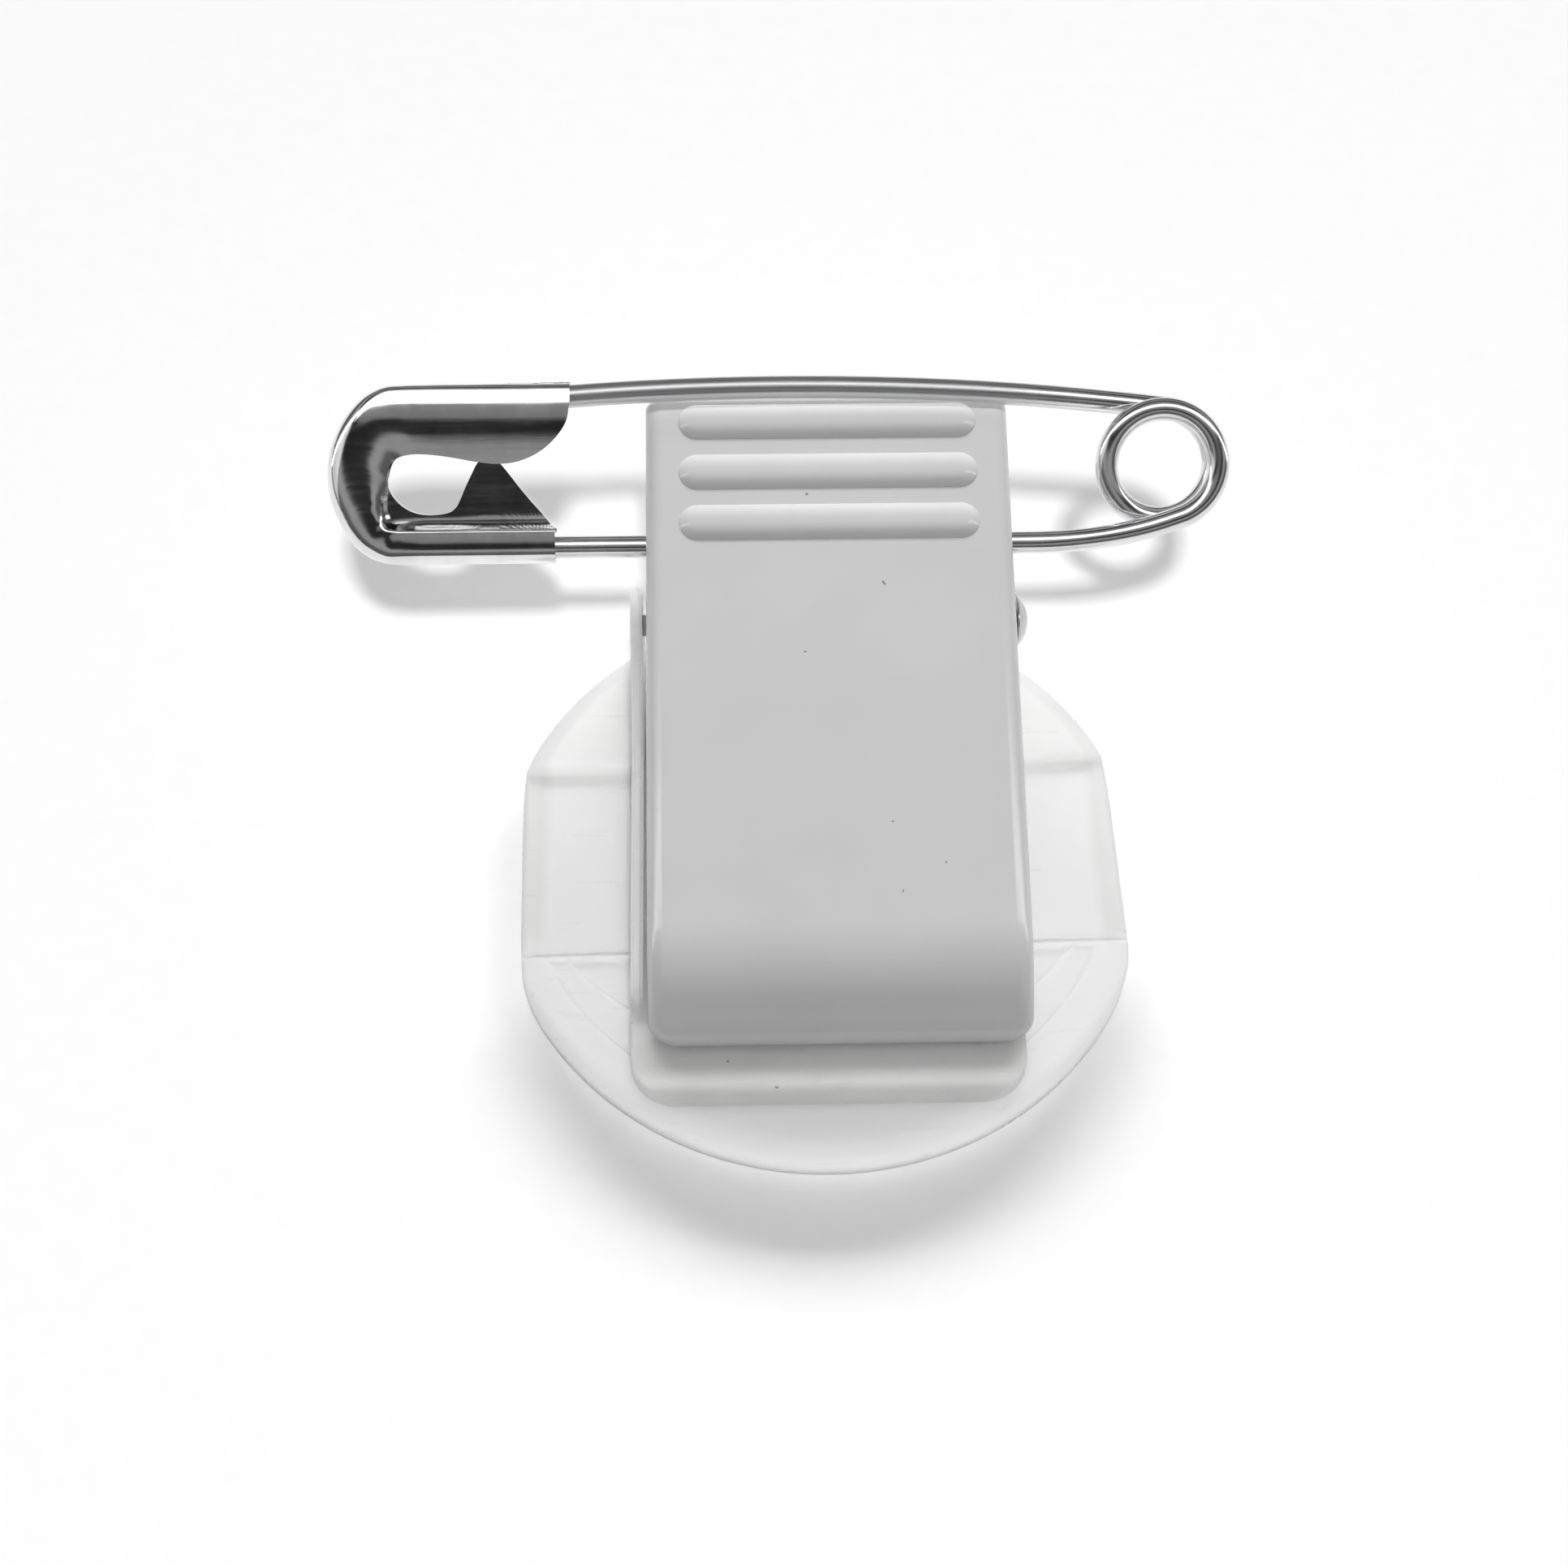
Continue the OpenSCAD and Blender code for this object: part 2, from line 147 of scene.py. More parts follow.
PIN_LUG_FROM = math.radians(-38)
RIB_Y = 16.1
RIB_PITCH = 2.225
RIB_COUNT = 3
RIB_HALF_L = 6.3
RIB_W = 1.66
RIB_H = 0.21
RIB_SINK = 0.25
RIB_FOOT = 0.02

# Specks of dirt: x, y, half length, half width, turn in degrees
LEVER_SPECKS = [(2.66, 8.96, 0.11, 0.045, 125), (-0.43, 12.85, 0.06, 0.05, 0), (-0.65, 6.06, 0.07, 0.04, 20),
                (2.69, -1.0, 0.05, 0.04, 0), (4.76, -2.66, 0.05, 0.035, 90), (3.01, -3.8, 0.08, 0.03, 80)]
LIP_SPECKS = [(-2.11, -10.65, 0.1, 0.05, 160), (-4.01, -9.53, 0.05, 0.05, 0)]

# Axle, its round head, and the spring round it
AXLE = (8.85, 6.0)
AXLE_R = 0.45
FIT_GAP = 0.05
BORE_REACH = 12.0
AXLE_HEAD_X = 8.3
AXLE_HEAD_R = 1.15
AXLE_HEAD_T = 0.55
AXLE_END_X = -7.8
AXLE_NECK = 0.06
AXIS_GAP = 0.02
# Rims of the axle's head and of its left end: how far in from the radius, how far from the flat
AXLE_HEAD_RIM = [(0.03, 0.09), (0.0, 0.05), (0.03, 0.01), (0.08, 0.0)]
AXLE_END_RIM = [(0.0, 0.08), (0.06, 0.01)]
SPRING_R = 0.3
SPRING_COIL_R = 1.15
SPRING_PITCH = 0.65
SPRING_LEG_L = 2.3
SPRING_STEPS = 150
SPRING_START = math.radians(90.0) + LEVER_SLOPE
SPRING_END = math.radians(235.0 + 3 * 360.0)
SPRING_L = SPRING_PITCH * (SPRING_END - SPRING_START) / (2 * math.pi)
SPRING_X0, SPRING_X1 = LEVER_X + SPRING_L / 2, LEVER_X - SPRING_L / 2

# Pin: the plane it lies in, and its wire. In that plane U runs along the pin and V over its fixed
# arm, and W, or a depth D, stands out of it.
PIN_MID = (0.0, 11.9, 7.45)
PIN_TILT = math.radians(43.0)
PIN_R = 0.475
COIL_R = 2.3
COIL_U = 14.54
COIL_V = 3.26
COIL_HALF_D = 0.8
STRAIGHT_END = 9.0
COIL_STEPS = 160
BEND_STEPS = 36
BEND_OUT_BY = 0.8
BOW_STEPS = 110
GRIP_U = -17.0
BOW_R = 130.0
BOW_APEX_U = -1.5
NEEDLE_LEVEL_U = -9.0
POINT_L = 4.5
POINT_R = 0.08
NEEDLE_FROM = 56.0
LINES_PER_M = 60.0

# Pin head: its sheet, and its flap, which rolls over the fold, dishes and leans back to its edge
SHEET_T = 0.2
RIM_EDGE = 0.045
HEAD_HALF_D = 0.8
HEAD_TOP_V = 6.83
FLAP_ROLL = 0.2
FLAP_FACE_D = 0.5
FLAP_FULL = 1.9
FLAP_LEAN = 0.11
FLAP_BEND = 0.12
LEAN_END_U = -18.2
LEAN_END_W = 1.6

# How sharp the flap and the head's side meet, what that takes off the depth, and the least depth
CORNER_MIX = 8
CORNER_LOSS = 0.007
LEAST = 0.01

# The fold round the wire: round below, nearly flat above, its front edge rolled, its back bulged
TUBE_LOW_V = -0.68
TUBE_BEND_V = 0.02
TUBE_HALF_W = 0.66
TUBE_FALL = 0.09
TUBE_ROUND_TO = 0.6
TUBE_FLAT_TO = 0.85
ROLL_V = 0.7
ROLL_R = 0.11
ROLL_TURN = math.radians(80)
TUBE_BACK_D = 0.7
BACK_FULL = 1.0
BACK_BULGE = 0.2
BULGE_RISE = 0.6
BULGE_END_V = 0.68
TAB_BEND_V = 1.2

# Steps of the head's mesh, and how many of its table's columns run round
BACK_STEPS = 26
FRONT_STEPS = 34
ROW_STEPS = 8
ROUND_COLUMNS = 4

# Camera: the photograph's own angle, for an image of 1932 x 1931
CAMERA_AZIMUTH = math.radians(-2.631)
CAMERA_ELEVATION = math.radians(58.261)
CAMERA_ROLL = math.radians(1.504)
CAMERA_DISTANCE = 105.566
CAMERA_TARGET = (-1.4337, 4.6697, 0.0)
CAMERA_LENS = 56.04
CAMERA_SENSOR = 36.0

# Floor
FLOOR_HALF = 900.0
FLOOR_Z = -0.02


# Meshes

def add_object(name, data):
    made = bpy.data.objects.new(name, data)
    bpy.context.scene.collection.objects.link(made)
    return made


def mesh_piece(name, points, faces, sharp=35.0):
    """A piece from points in millimetres, its faces smooth up to the sharp angle, in degrees."""
    mesh = bpy.data.meshes.new(name)
    mesh.from_pydata([tuple(MM * c for c in p) for p in points], [], faces)
    mesh.validate()
    piece = add_object(name, mesh)
    tidy_mesh(piece, sharp)
    return piece


@contextmanager
def open_mesh(piece):
    """The piece's mesh, open for work, and written back at the end."""
    work = bmesh.new()
    work.from_mesh(piece.data)
    yield work
    work.to_mesh(piece.data)
    work.free()


def tidy_mesh(piece, sharp=35.0):
    """Merges doubles, turns the faces outwards and marks the sharp edges."""
    limit = math.radians(sharp)
    with open_mesh(piece) as work:
        bmesh.ops.remove_doubles(work, verts=work.verts, dist=1e-7)
        bmesh.ops.recalc_face_normals(work, faces=work.faces)
        for face in work.faces:
            face.smooth = True
        for edge in work.edges:
            edge.smooth = len(edge.link_faces) == 2 and edge.calc_face_angle(0.0) < limit


def open_edges(work):
    """The mesh's edges that have one face only."""
    return [e for e in work.edges if len(e.link_faces) == 1]


def close_seams(piece):
    """Drops the slivers that a cut or a wall has left, and fills the slits they leave."""
    with open_mesh(piece) as work:
        bmesh.ops.dissolve_degenerate(work, dist=SLIVER * MM, edges=work.edges)
        bmesh.ops.holes_fill(work, edges=open_edges(work), sides=0)
        bmesh.ops.delete(work, geom=[e for e in work.edges if not e.link_faces], context="EDGES")


def apply_modifiers(piece):
    """Turns the piece's modifiers into plain mesh."""
    bpy.context.view_layer.update()
    graph = bpy.context.evaluated_depsgraph_get()
    mesh = bpy.data.meshes.new_from_object(piece.evaluated_get(graph), depsgraph=graph)
    piece.modifiers.clear()
    if piece.type == "MESH":
        piece.data = mesh
        return piece
    name = piece.name
    bpy.data.objects.remove(piece)
    return add_object(name, mesh)


def combine(piece, others, operation):
    """Joins to the piece, or cuts from it, each of the other solids, which are used up."""
    for other in others:
        modifier = piece.modifiers.new("combine", "BOOLEAN")
        modifier.operation = operation
        modifier.solver = "EXACT"
        modifier.object = other
        apply_modifiers(piece)
        bpy.data.objects.remove(other)
    return piece


def even_normals(piece):
    """Weights the normals by face area, so that flat faces stay flat beside small rounds."""
    modifier = piece.modifiers.new("normals", "WEIGHTED_NORMAL")
    modifier.keep_sharp = True
    apply_modifiers(piece)


def loft(name, rings, closed_ring=True, caps=True, sharp=35.0):
    """A skin over rings of points, each ring with the same count."""
    count = len(rings[0])
    points = [p for ring in rings for p in ring]
    across = count if closed_ring else count - 1
    faces = [(k * count + i, k * count + (i + 1) % count,
              (k + 1) * count + (i + 1) % count, (k + 1) * count + i)
             for k in range(len(rings) - 1) for i in range(across)]
    if caps:
        faces.append(tuple(range(count - 1, -1, -1)))
        faces.append(tuple((len(rings) - 1) * count + i for i in range(count)))
    return mesh_piece(name, points, faces, sharp)


def spread(start, end, steps):
    """Even values from start to end, with both."""
    return [start + (end - start) * i / steps for i in range(steps + 1)]


def toward(start, end, share):
    """The place at a share of the way from start to end."""
    return tuple(a + (b - a) * share for a, b in zip(start, end))


def hold(value, low=0.0, high=1.0):
    """The value, kept between low and high."""
    return min(max(value, low), high)


def ease(s):
    """From 0 to 1 with a soft start and a soft end."""
    return s * s * (3 - 2 * s)


def arc(mid, radius, start, end, steps):
    """Points of an arc in a plane, angles in radians."""
    turns = spread(start, end, steps)
    return [(mid[0] + radius * math.cos(a), mid[1] + radius * math.sin(a)) for a in turns]


def side_plate(name, outline, x0, thickness, bevel):
    """A plate that stands in the Y-Z plane, with its rims rounded."""
    piece = loft(name, [[(x, y, z) for y, z in outline] for x in (x0, x0 + thickness)])
    with open_mesh(piece) as work:
        rims = [e for e in work.edges if e.calc_face_angle(0.0) > math.radians(60)
                and abs(e.verts[0].co.x - e.verts[1].co.x) < 1e-9]
        bmesh.ops.bevel(work, geom=rims, offset=bevel * MM, segments=3, affect="EDGES", clamp_overlap=True)
    tidy_mesh(piece)
    return piece


def bore(radius, at, sides=48):
    """A rod along X that cuts a hole for a wire of this radius, with room to turn."""
    circle = arc(at, radius + FIT_GAP, 0, 2 * math.pi, sides)[:-1]
    return loft("bore", [[(x, y, z) for y, z in circle] for x in (-BORE_REACH, BORE_REACH)])


def lathe(name, profile, sides=96, sharp=35.0):
    """A turned solid about Z, from (radius, height) rows that start and end away from the axis."""
    turns = spread(0.0, 2 * math.pi, sides)[:-1]
    rings = [[(r * math.cos(a), r * math.sin(a), z) for a in turns] for r, z in profile]
    return loft(name, rings, sharp=sharp)


# Paths for the pieces that are bent from a strip

def strip_path(turns, spacing):
    """Rows (y, z, direction) along turns: ("line", start, end) or ("arc", middle, radius, from, to)."""
    rows = []
    for kind, *turn in turns:
        if kind == "line":
            start, end = turn
            angle = math.atan2(end[1] - start[1], end[0] - start[0])
            steps = max(1, round(math.dist(start, end) / spacing))
            rows += [(*toward(start, end, share), angle) for share in spread(0.0, 1.0, steps)]
        else:
            mid, radius, start, end = turn
            steps = max(6, round(radius * abs(end - start) / spacing))
            rows += [(mid[0] - radius * math.sin(lean), mid[1] + radius * math.cos(lean), math.pi + lean)
                     for lean in spread(start, end, steps)]
    kept = [rows[0]]
    for row in rows[1:]:
        if math.dist(row[:2], kept[-1][:2]) > 0.01:
            kept.append(row)
    return kept


def walk(path):
    """Distance of each row of a path from its start."""
    lengths = [0.0]
    for a, b in zip(path, path[1:]):
        lengths.append(lengths[-1] + math.dist(a[:2], b[:2]))
    return lengths


def place_on(path, lengths, s):
    """The path's place and direction at a distance from its start."""
    s = hold(s, 0.0, lengths[-1])
    k = hold(np.searchsorted(lengths, s) - 1, 0, len(path) - 2)
    return toward(path[k], path[k + 1], (s - lengths[k]) / (lengths[k + 1] - lengths[k]))


def round_drop(distance, radius):
    """How far a quarter-round edge lies below its flat, at a distance from its end."""
    if distance >= radius:
        return 0.0
    return radius - math.sqrt(max(radius ** 2 - (radius - distance) ** 2, 0.0))


def slab_section(half_w, top, low, side_r, low_r):
    """A cut across a slab, as (across, depth) points: right side, underside, left side and top."""
    side_r, low_r = min(side_r, (low - top) * 0.75), min(low_r, (low - top) * 0.2)
    right = arc((half_w - side_r, top + side_r), side_r, -math.pi / 2, 0, 10)
    right += arc((half_w - low_r, low - low_r), low_r, 0, math.pi / 2, 4)
    left = [(-x, d) for x, d in reversed(right)]
    under = [(x, low) for x in spread(right[-1][0], left[0][0], 24)[1:-1]]
    over = [(x, top) for x in spread(left[-1][0], right[0][0], 24)[1:-1]]
    return right + under + left + over


def bent_slab(name, path, half_w, thickness, side_r, low_r, ends, middle_x=0.0):
    """A slab whose top follows a path that runs towards -Y, with its sides and ends rounded."""
    lengths = walk(path)
    total = lengths[-1]
    (plan0, top0, low0), (plan1, top1, low1) = ends
    quarter = [1 - math.cos(a) for a in spread(0.0, math.pi / 2, 14)]
    places = set(lengths)
    places.update(radius * q for radius in ends[0] for q in quarter)
    places.update(total - radius * q for radius in ends[1] for q in quarter)
    kept = [0.0]
    for s in sorted(places):
        if s - kept[-1] > ROW_GAP:
            kept.append(s)
    kept[-1] = total
    rings = []
    for s in kept:
        y, z, angle = place_on(path, lengths, s)
        up = (math.sin(angle), -math.cos(angle))
        width = half_w - round_drop(s, plan0) - round_drop(total - s, plan1)
        top = round_drop(s, top0) + round_drop(total - s, top1)
        low = thickness - round_drop(s, low0) - round_drop(total - s, low1)
        rings.append([(middle_x + x, y - d * up[0], z - d * up[1])
                      for x, d in slab_section(width, top, low, side_r, low_r)])
    return loft(name, rings, sharp=40.0)


# Base disc

def ramp_up(value, width):
    """From 0 to 1 over a width that lies half before and half past the value's zero."""
    return ease(hold(value / width + 0.5))


def disc_edge(y):
    """Half width of the disc at a distance from its middle, its corners slightly rounded."""
    circle = math.sqrt(max(DISC_R ** 2 - y ** 2, 0.0))
    gap = abs(circle - DISC_HALF_W)
    blend = max(DISC_CORNER - gap, 0.0) / DISC_CORNER
    return min(circle, DISC_HALF_W) - blend ** 2 * DISC_CORNER / CORNER_FLAT


def front_line(x, mid, radius, limit):
    """Y of a curved edge of the front field, held below a limit where it meets the field's edge."""
    drop = math.sqrt(max(radius ** 2 - (x - mid[0]) ** 2, 0.0))
    return min(limit, mid[1] - drop)


def disc_top(x, y):
    """Height of the disc's upper face: slab, raised fields with a round rim, front hollow and groove."""
    step = max(ramp_up(y - REAR_FIELD_Y, FIELD_STEP), ramp_up(FRONT_FIELD_Y - y, FIELD_STEP))
    rim = hold((DISC_R - math.hypot(x, y)) / RIM_W)
    height = SLAB_Z + FIELD_RISE * step * (1 - (1 - rim) ** RIM_ROUND)
    if y < FRONT_FIELD_Y:
        past_step = ramp_up(FRONT_FIELD_Y - STEP_FOOT - y, STEP_FOOT_W)
        to_hollow = HOLLOW_R - math.dist((x, y), HOLLOW_MID)
        to_groove = GROOVE_R - math.dist((x, y), GROOVE_MID)
        sides = ramp_up(abs(x) - LINE_SIDE_X, LINE_FADE)
        in_hollow, in_groove = ramp_up(to_hollow, LINE_W), ramp_up(to_groove, LINE_W) * sides
        height -= past_step * (GROOVE_DEPTH * in_groove + (HOLLOW_DEPTH - GROOVE_DEPTH) * in_hollow)
        for gap in (to_hollow, to_groove):
            height += past_step * sides * LINE_H * math.exp(-(gap / LINE_CREST / LINE_W) ** 2)
    return height


def disc_rows(x):
    """Y of each row of the disc's upper face at a column, close together at each step and rim.
    Small gaps keep the rows in order where two lines run together."""
    edge = math.sqrt(DISC_R ** 2 - x ** 2)
    rim = math.sqrt(max((DISC_R - RIM_W) ** 2 - x ** 2, 0.0))
    hollow = front_line(x, HOLLOW_MID, HOLLOW_R, FRONT_FIELD_Y - 0.3)
    groove = min(front_line(x, GROOVE_MID, GROOVE_R, FRONT_FIELD_Y - 0.4), hollow - 0.1)
    rear_step = min(REAR_FIELD_Y + FIELD_STEP / 2, edge - 0.04)
    front_step = FRONT_FIELD_Y + FIELD_STEP / 2
    front_end, hollow_end = front_step - FIELD_STEP, hollow - LINE_W / 2
    rim = hold(rim, rear_step + 0.02, edge - 0.02)
    hollow_start = min(hollow + LINE_W / 2, front_end - 0.01)
    groove_start = min(groove + LINE_W / 2, hollow_end - 0.005)
    groove_end = min(max(groove - LINE_W / 2, -edge + 0.03), groove_start - 0.005)
    marks = [(rim, 14), (rear_step, 8), (rear_step - FIELD_STEP, 22), (front_step, 8), (front_end, 10),
             (hollow_start, 10), (hollow_end, 8), (groove_start, 10), (groove_end, 0)]
    rows = [edge - (edge - rim) * (1 - math.cos(a)) for a in spread(0.0, math.pi / 2, 12)[:-1]]
    for (start, steps), (end, _) in zip(marks, marks[1:]):
        rows += spread(start, end, steps)[:-1]
    return rows + [-edge + (groove_end + edge) * (1 - math.sin(a)) for a in spread(0.0, math.pi / 2, 20)]


def disc_column(x):
    """A column of points of the disc's upper face, held inside the disc's outline."""
    column = []
    for y in disc_rows(x):
        inset = min(DISC_HALF_W - abs(x), DISC_R - math.hypot(x, y))
        z = disc_top(x, y) - round_drop(max(inset, 0.0), DISC_EDGE_ROUND)
        column.append((hold(x, -disc_edge(y), disc_edge(y)), y, z))
    return column


def moulded_disc():
    """The disc: its upper face as a grid whose rows follow the steps, with walls and underside."""
    turns = spread(-math.pi / 2, math.pi / 2, 2 * DISC_HALF_COLUMNS)
    columns = [disc_column(DISC_HALF_W * math.sin(a)) for a in turns]
    disc = loft("moulded_disc", columns, closed_ring=False, caps=False, sharp=60.0)
    with open_mesh(disc) as work:
        for height, shrink in ((DISC_FOOT, 1.0), (0.0, 1 - DISC_FOOT / DISC_R)):
            made = bmesh.ops.extrude_edge_only(work, edges=open_edges(work))["geom"]
            for vertex in (v for v in made if isinstance(v, bmesh.types.BMVert)):
                vertex.co = (vertex.co.x * shrink, vertex.co.y * shrink, height * MM)
        bmesh.ops.contextual_create(work, geom=open_edges(work))
        bmesh.ops.transform(work, matrix=Matrix.Rotation(DISC_TURN, 4, "Z"), verts=work.verts)
    tidy_mesh(disc, 45.0)
    combine(disc, [lathe("stud", STUD_PROFILE, sharp=30.0)], "UNION")
    tidy_mesh(disc, 45.0)
    even_normals(disc)
    return disc


# Back jaw

def jaw_moulding():
    """Floor with its lip rounded down in front, tail, two side walls with ears, stud hole and bores."""
    floor = strip_path([("line", (JAW_REAR_Y, JAW_TOP), (JAW_FRONT_Y, JAW_TOP))], 0.4)
    jaw = bent_slab("jaw_moulding", floor, JAW_HALF_W, JAW_T, JAW_SIDE_R, JAW_LOW_R, JAW_ENDS)
    tail_z, foot_z = JAW_TOP - JOIN_GAP, JAW_Z + WALL_FOOT
    tail = bent_slab("tail", strip_path([("line", (TAIL_Y, tail_z), (0.0, tail_z))], 0.6), TAIL_HALF_W,
                     JAW_T - 2 * JOIN_GAP, JAW_SIDE_R, JAW_LOW_R, TAIL_ENDS)
    outline = [(WALL_FRONT_Y, foot_z)]
    outline += [(WALL_FRONT_Y + WALL_RAMP * s, JAW_TOP + (WALL_TOP - JAW_TOP) * ease(s))
                for s in spread(0.0, 1.0, 8)]
    outline += [WALL_KNEE] + arc(EAR_MID, EAR_R, EAR_FROM, 0, 26) + [(EAR_MID[0] + EAR_R, foot_z)]
    walls = [side_plate("wall", outline, x, WALL_T, WALL_EDGE)
             for x in (-JAW_HALF_W - JOIN_GAP, JAW_HALF_W - WALL_T + JOIN_GAP)]
    combine(jaw, [tail] + walls, "UNION")
    hole = lathe("hole", [(STUD_HOLE_R, 0.0), (STUD_HOLE_R, 6.0)], sides=72)
    combine(jaw, [hole, bore(AXLE_R, AXLE)], "DIFFERENCE")
    close_seams(jaw)
    tidy_mesh(jaw, 38.0)
    even_normals(jaw)
    return jaw


# Lever

def lever_top(y):
    """Height of the lever's upper face, before its nose."""
    return LEVER_Z + y * math.tan(LEVER_SLOPE)


def lever_path():
    """The lever's top from its rear end to the nose tip."""
    rear, start = [(y, lever_top(y)) for y in (LEVER_REAR_Y, NOSE_Y)]
    mid = (start[0] + NOSE_R * math.sin(LEVER_SLOPE), start[1] - NOSE_R * math.cos(LEVER_SLOPE))
    inward = NOSE_R - TIP_R
    tip_mid = (mid[0] - inward * math.sin(NOSE_TURN), mid[1] + inward * math.cos(NOSE_TURN))
    return strip_path([("line", rear, start), ("arc", mid, NOSE_R, LEVER_SLOPE, NOSE_TURN),
                       ("arc", tip_mid, TIP_R, NOSE_TURN, TIP_TURN)], 0.3)


def flange_outline():
    """Side view of a flange, with a lug round the axle and one round the pin."""
    under_top = LEVER_T / math.cos(LEVER_SLOPE) - FLANGE_SINK
    pin = PIN_MID[1:]
    points = [(y, lever_top(y) - under_top) for y in (pin[0] + PIN_LUG_R, FLANGE_FRONT_Y)]
    points += [(FLANGE_FRONT_Y, FLANGE_LOW_Z + FLANGE_CORNER[1]),
               (FLANGE_FRONT_Y + FLANGE_CORNER[0], FLANGE_LOW_Z)]
    points += arc(AXLE, AXLE_LUG_R, *AXLE_LUG_SPAN, 20) + arc(pin, PIN_LUG_R, PIN_LUG_FROM, 0, 10)
    return points


def lever_moulding(ribs):
    """Sloped plate with its nose and round edges, grip ribs, and two flanges with bores."""
    lever = bent_slab("lever_moulding", lever_path(), LEVER_HALF_W, LEVER_T, SIDE_ROUND, LEVER_LOW_R,
                      LEVER_ENDS, LEVER_X)
    flanges = [side_plate("flange", flange_outline(), LEVER_X + x, FLANGE_T, FLANGE_EDGE)
               for x in (-FLANGE_HALF_W, FLANGE_HALF_W - FLANGE_T)]
    combine(lever, [ribs] + flanges, "UNION")
    front, rear = TIP_CUT_Y
    corners = [(-BORE_REACH, front), (BORE_REACH, front), (BORE_REACH, rear), (-BORE_REACH, rear)]
    under_tip = loft("under_tip", [[(x, y, z) for x, y in corners] for z in (0.0, TIP_Z)])
    combine(lever, [bore(AXLE_R, AXLE), bore(PIN_R, PIN_MID[1:]), under_tip], "DIFFERENCE")
    tidy_mesh(lever, 40.0)
    even_normals(lever)
    return lever


# Node trees

class Tree:
    """Short forms for building a geometry or shader node tree."""

    def __init__(self, tree):
        self.tree = tree

    def node(self, kind, links=None, values=None, **settings):
        """A node with its settings, its inputs' values, and the sockets that feed its inputs."""
        node = self.tree.nodes.new(kind)
        for key, value in settings.items():
            setattr(node, key, value)
        self.fill(node, values or {})
        self.feed(node, links or {})
        return node

    def fill(self, node, values):
        """Sets a node's inputs to plain values."""
        for key, value in values.items():
            node.inputs[key].default_value = value

    def feed(self, node, links):
        """Links sockets to a node's inputs."""
        for key, source in links.items():
            self.tree.links.new(source, node.inputs[key])

    def math(self, operation, a, b=None):
        """The result of a sum whose terms are sockets or numbers."""
        node = self.tree.nodes.new("ShaderNodeMath")
        node.operation = operation
        for place, value in enumerate((a, b)):
            if isinstance(value, (int, float)):
                self.fill(node, {place: value})
            elif value is not None:
                self.feed(node, {place: value})
        return node.outputs[0]

    def plus(self, a, b):
        return self.math("ADD", a, b)

    def minus(self, a, b):
        return self.math("SUBTRACT", a, b)

    def times(self, a, b):
        return self.math("MULTIPLY", a, b)

    def ramp(self, value, start, end, low=0.0, high=1.0):
        """From low to high as the value goes from start to end, and level beyond."""
        node = self.node("ShaderNodeMapRange", {"Value": value}, {
            "From Min": start, "From Max": end, "To Min": low, "To Max": high})
        return node.outputs["Result"]

    def split(self, vector):
        """The outputs X, Y and Z of a vector."""
        return self.node("ShaderNodeSeparateXYZ", {0: vector}).outputs

    def join(self, **links):
        """A vector from sockets for X, Y and Z."""
        return self.node("ShaderNodeCombineXYZ", links).outputs["Vector"]

    def mix(self, share, start, end):
        """A colour from start to end by a share from 0 to 1; each end is a colour or a socket.
        A mix of colours reads sockets 6 and 7 and gives socket 2."""
        node = self.node("ShaderNodeMix", {"Factor": share}, data_type="RGBA")
        for place, colour in ((6, start), (7, end)):
            if isinstance(colour, tuple):
                self.fill(node, {place: (*colour, 1.0)})
            else:
                self.feed(node, {place: colour})
        return node.outputs[2]

    def keep(self, geometry, label, value):
        """The geometry and the value under its label, kept as they are here."""
        node = self.node("GeometryNodeCaptureAttribute", {"Geometry": geometry})
        node.capture_items.new("FLOAT", label)
        self.feed(node, {label: value})
        return node.outputs


def geometry_tree(name, sizes):
    """A geometry tree with named inputs: its short forms, its input sockets and its output node."""
    group = bpy.data.node_groups.new(name, "GeometryNodeTree")
    group.interface.new_socket("Geometry", in_out="INPUT", socket_type="NodeSocketGeometry")
    group.interface.new_socket("Geometry", in_out="OUTPUT", socket_type="NodeSocketGeometry")
    for label, kind in sizes:
        group.interface.new_socket(label, in_out="INPUT", socket_type=kind)
    return Tree(group), group.nodes.new("NodeGroupInput").outputs, group.nodes.new("NodeGroupOutput")


def end_tree(t, geometry, finish, end):
    """Ends a tree: its instances made real, then its material."""
    real = t.node("GeometryNodeRealizeInstances", {"Geometry": geometry})
    painted = t.node("GeometryNodeSetMaterial", {"Geometry": real.outputs["Geometry"], "Material": finish})
    t.feed(end, {"Geometry": painted.outputs["Geometry"]})
    return t.tree


def run_tree(piece, tree, sizes):
    """Runs a geometry tree on the piece, its named inputs set by identifier, and keeps the plain mesh."""
    modifier = piece.modifiers.new("nodes", "NODES")
    modifier.node_group = tree
    known = {item.name: item.identifier for item in tree.interface.items_tree if item.in_out == "INPUT"}
    for label, value in sizes.items():
        modifier[known[label]] = value
    return apply_modifiers(piece)


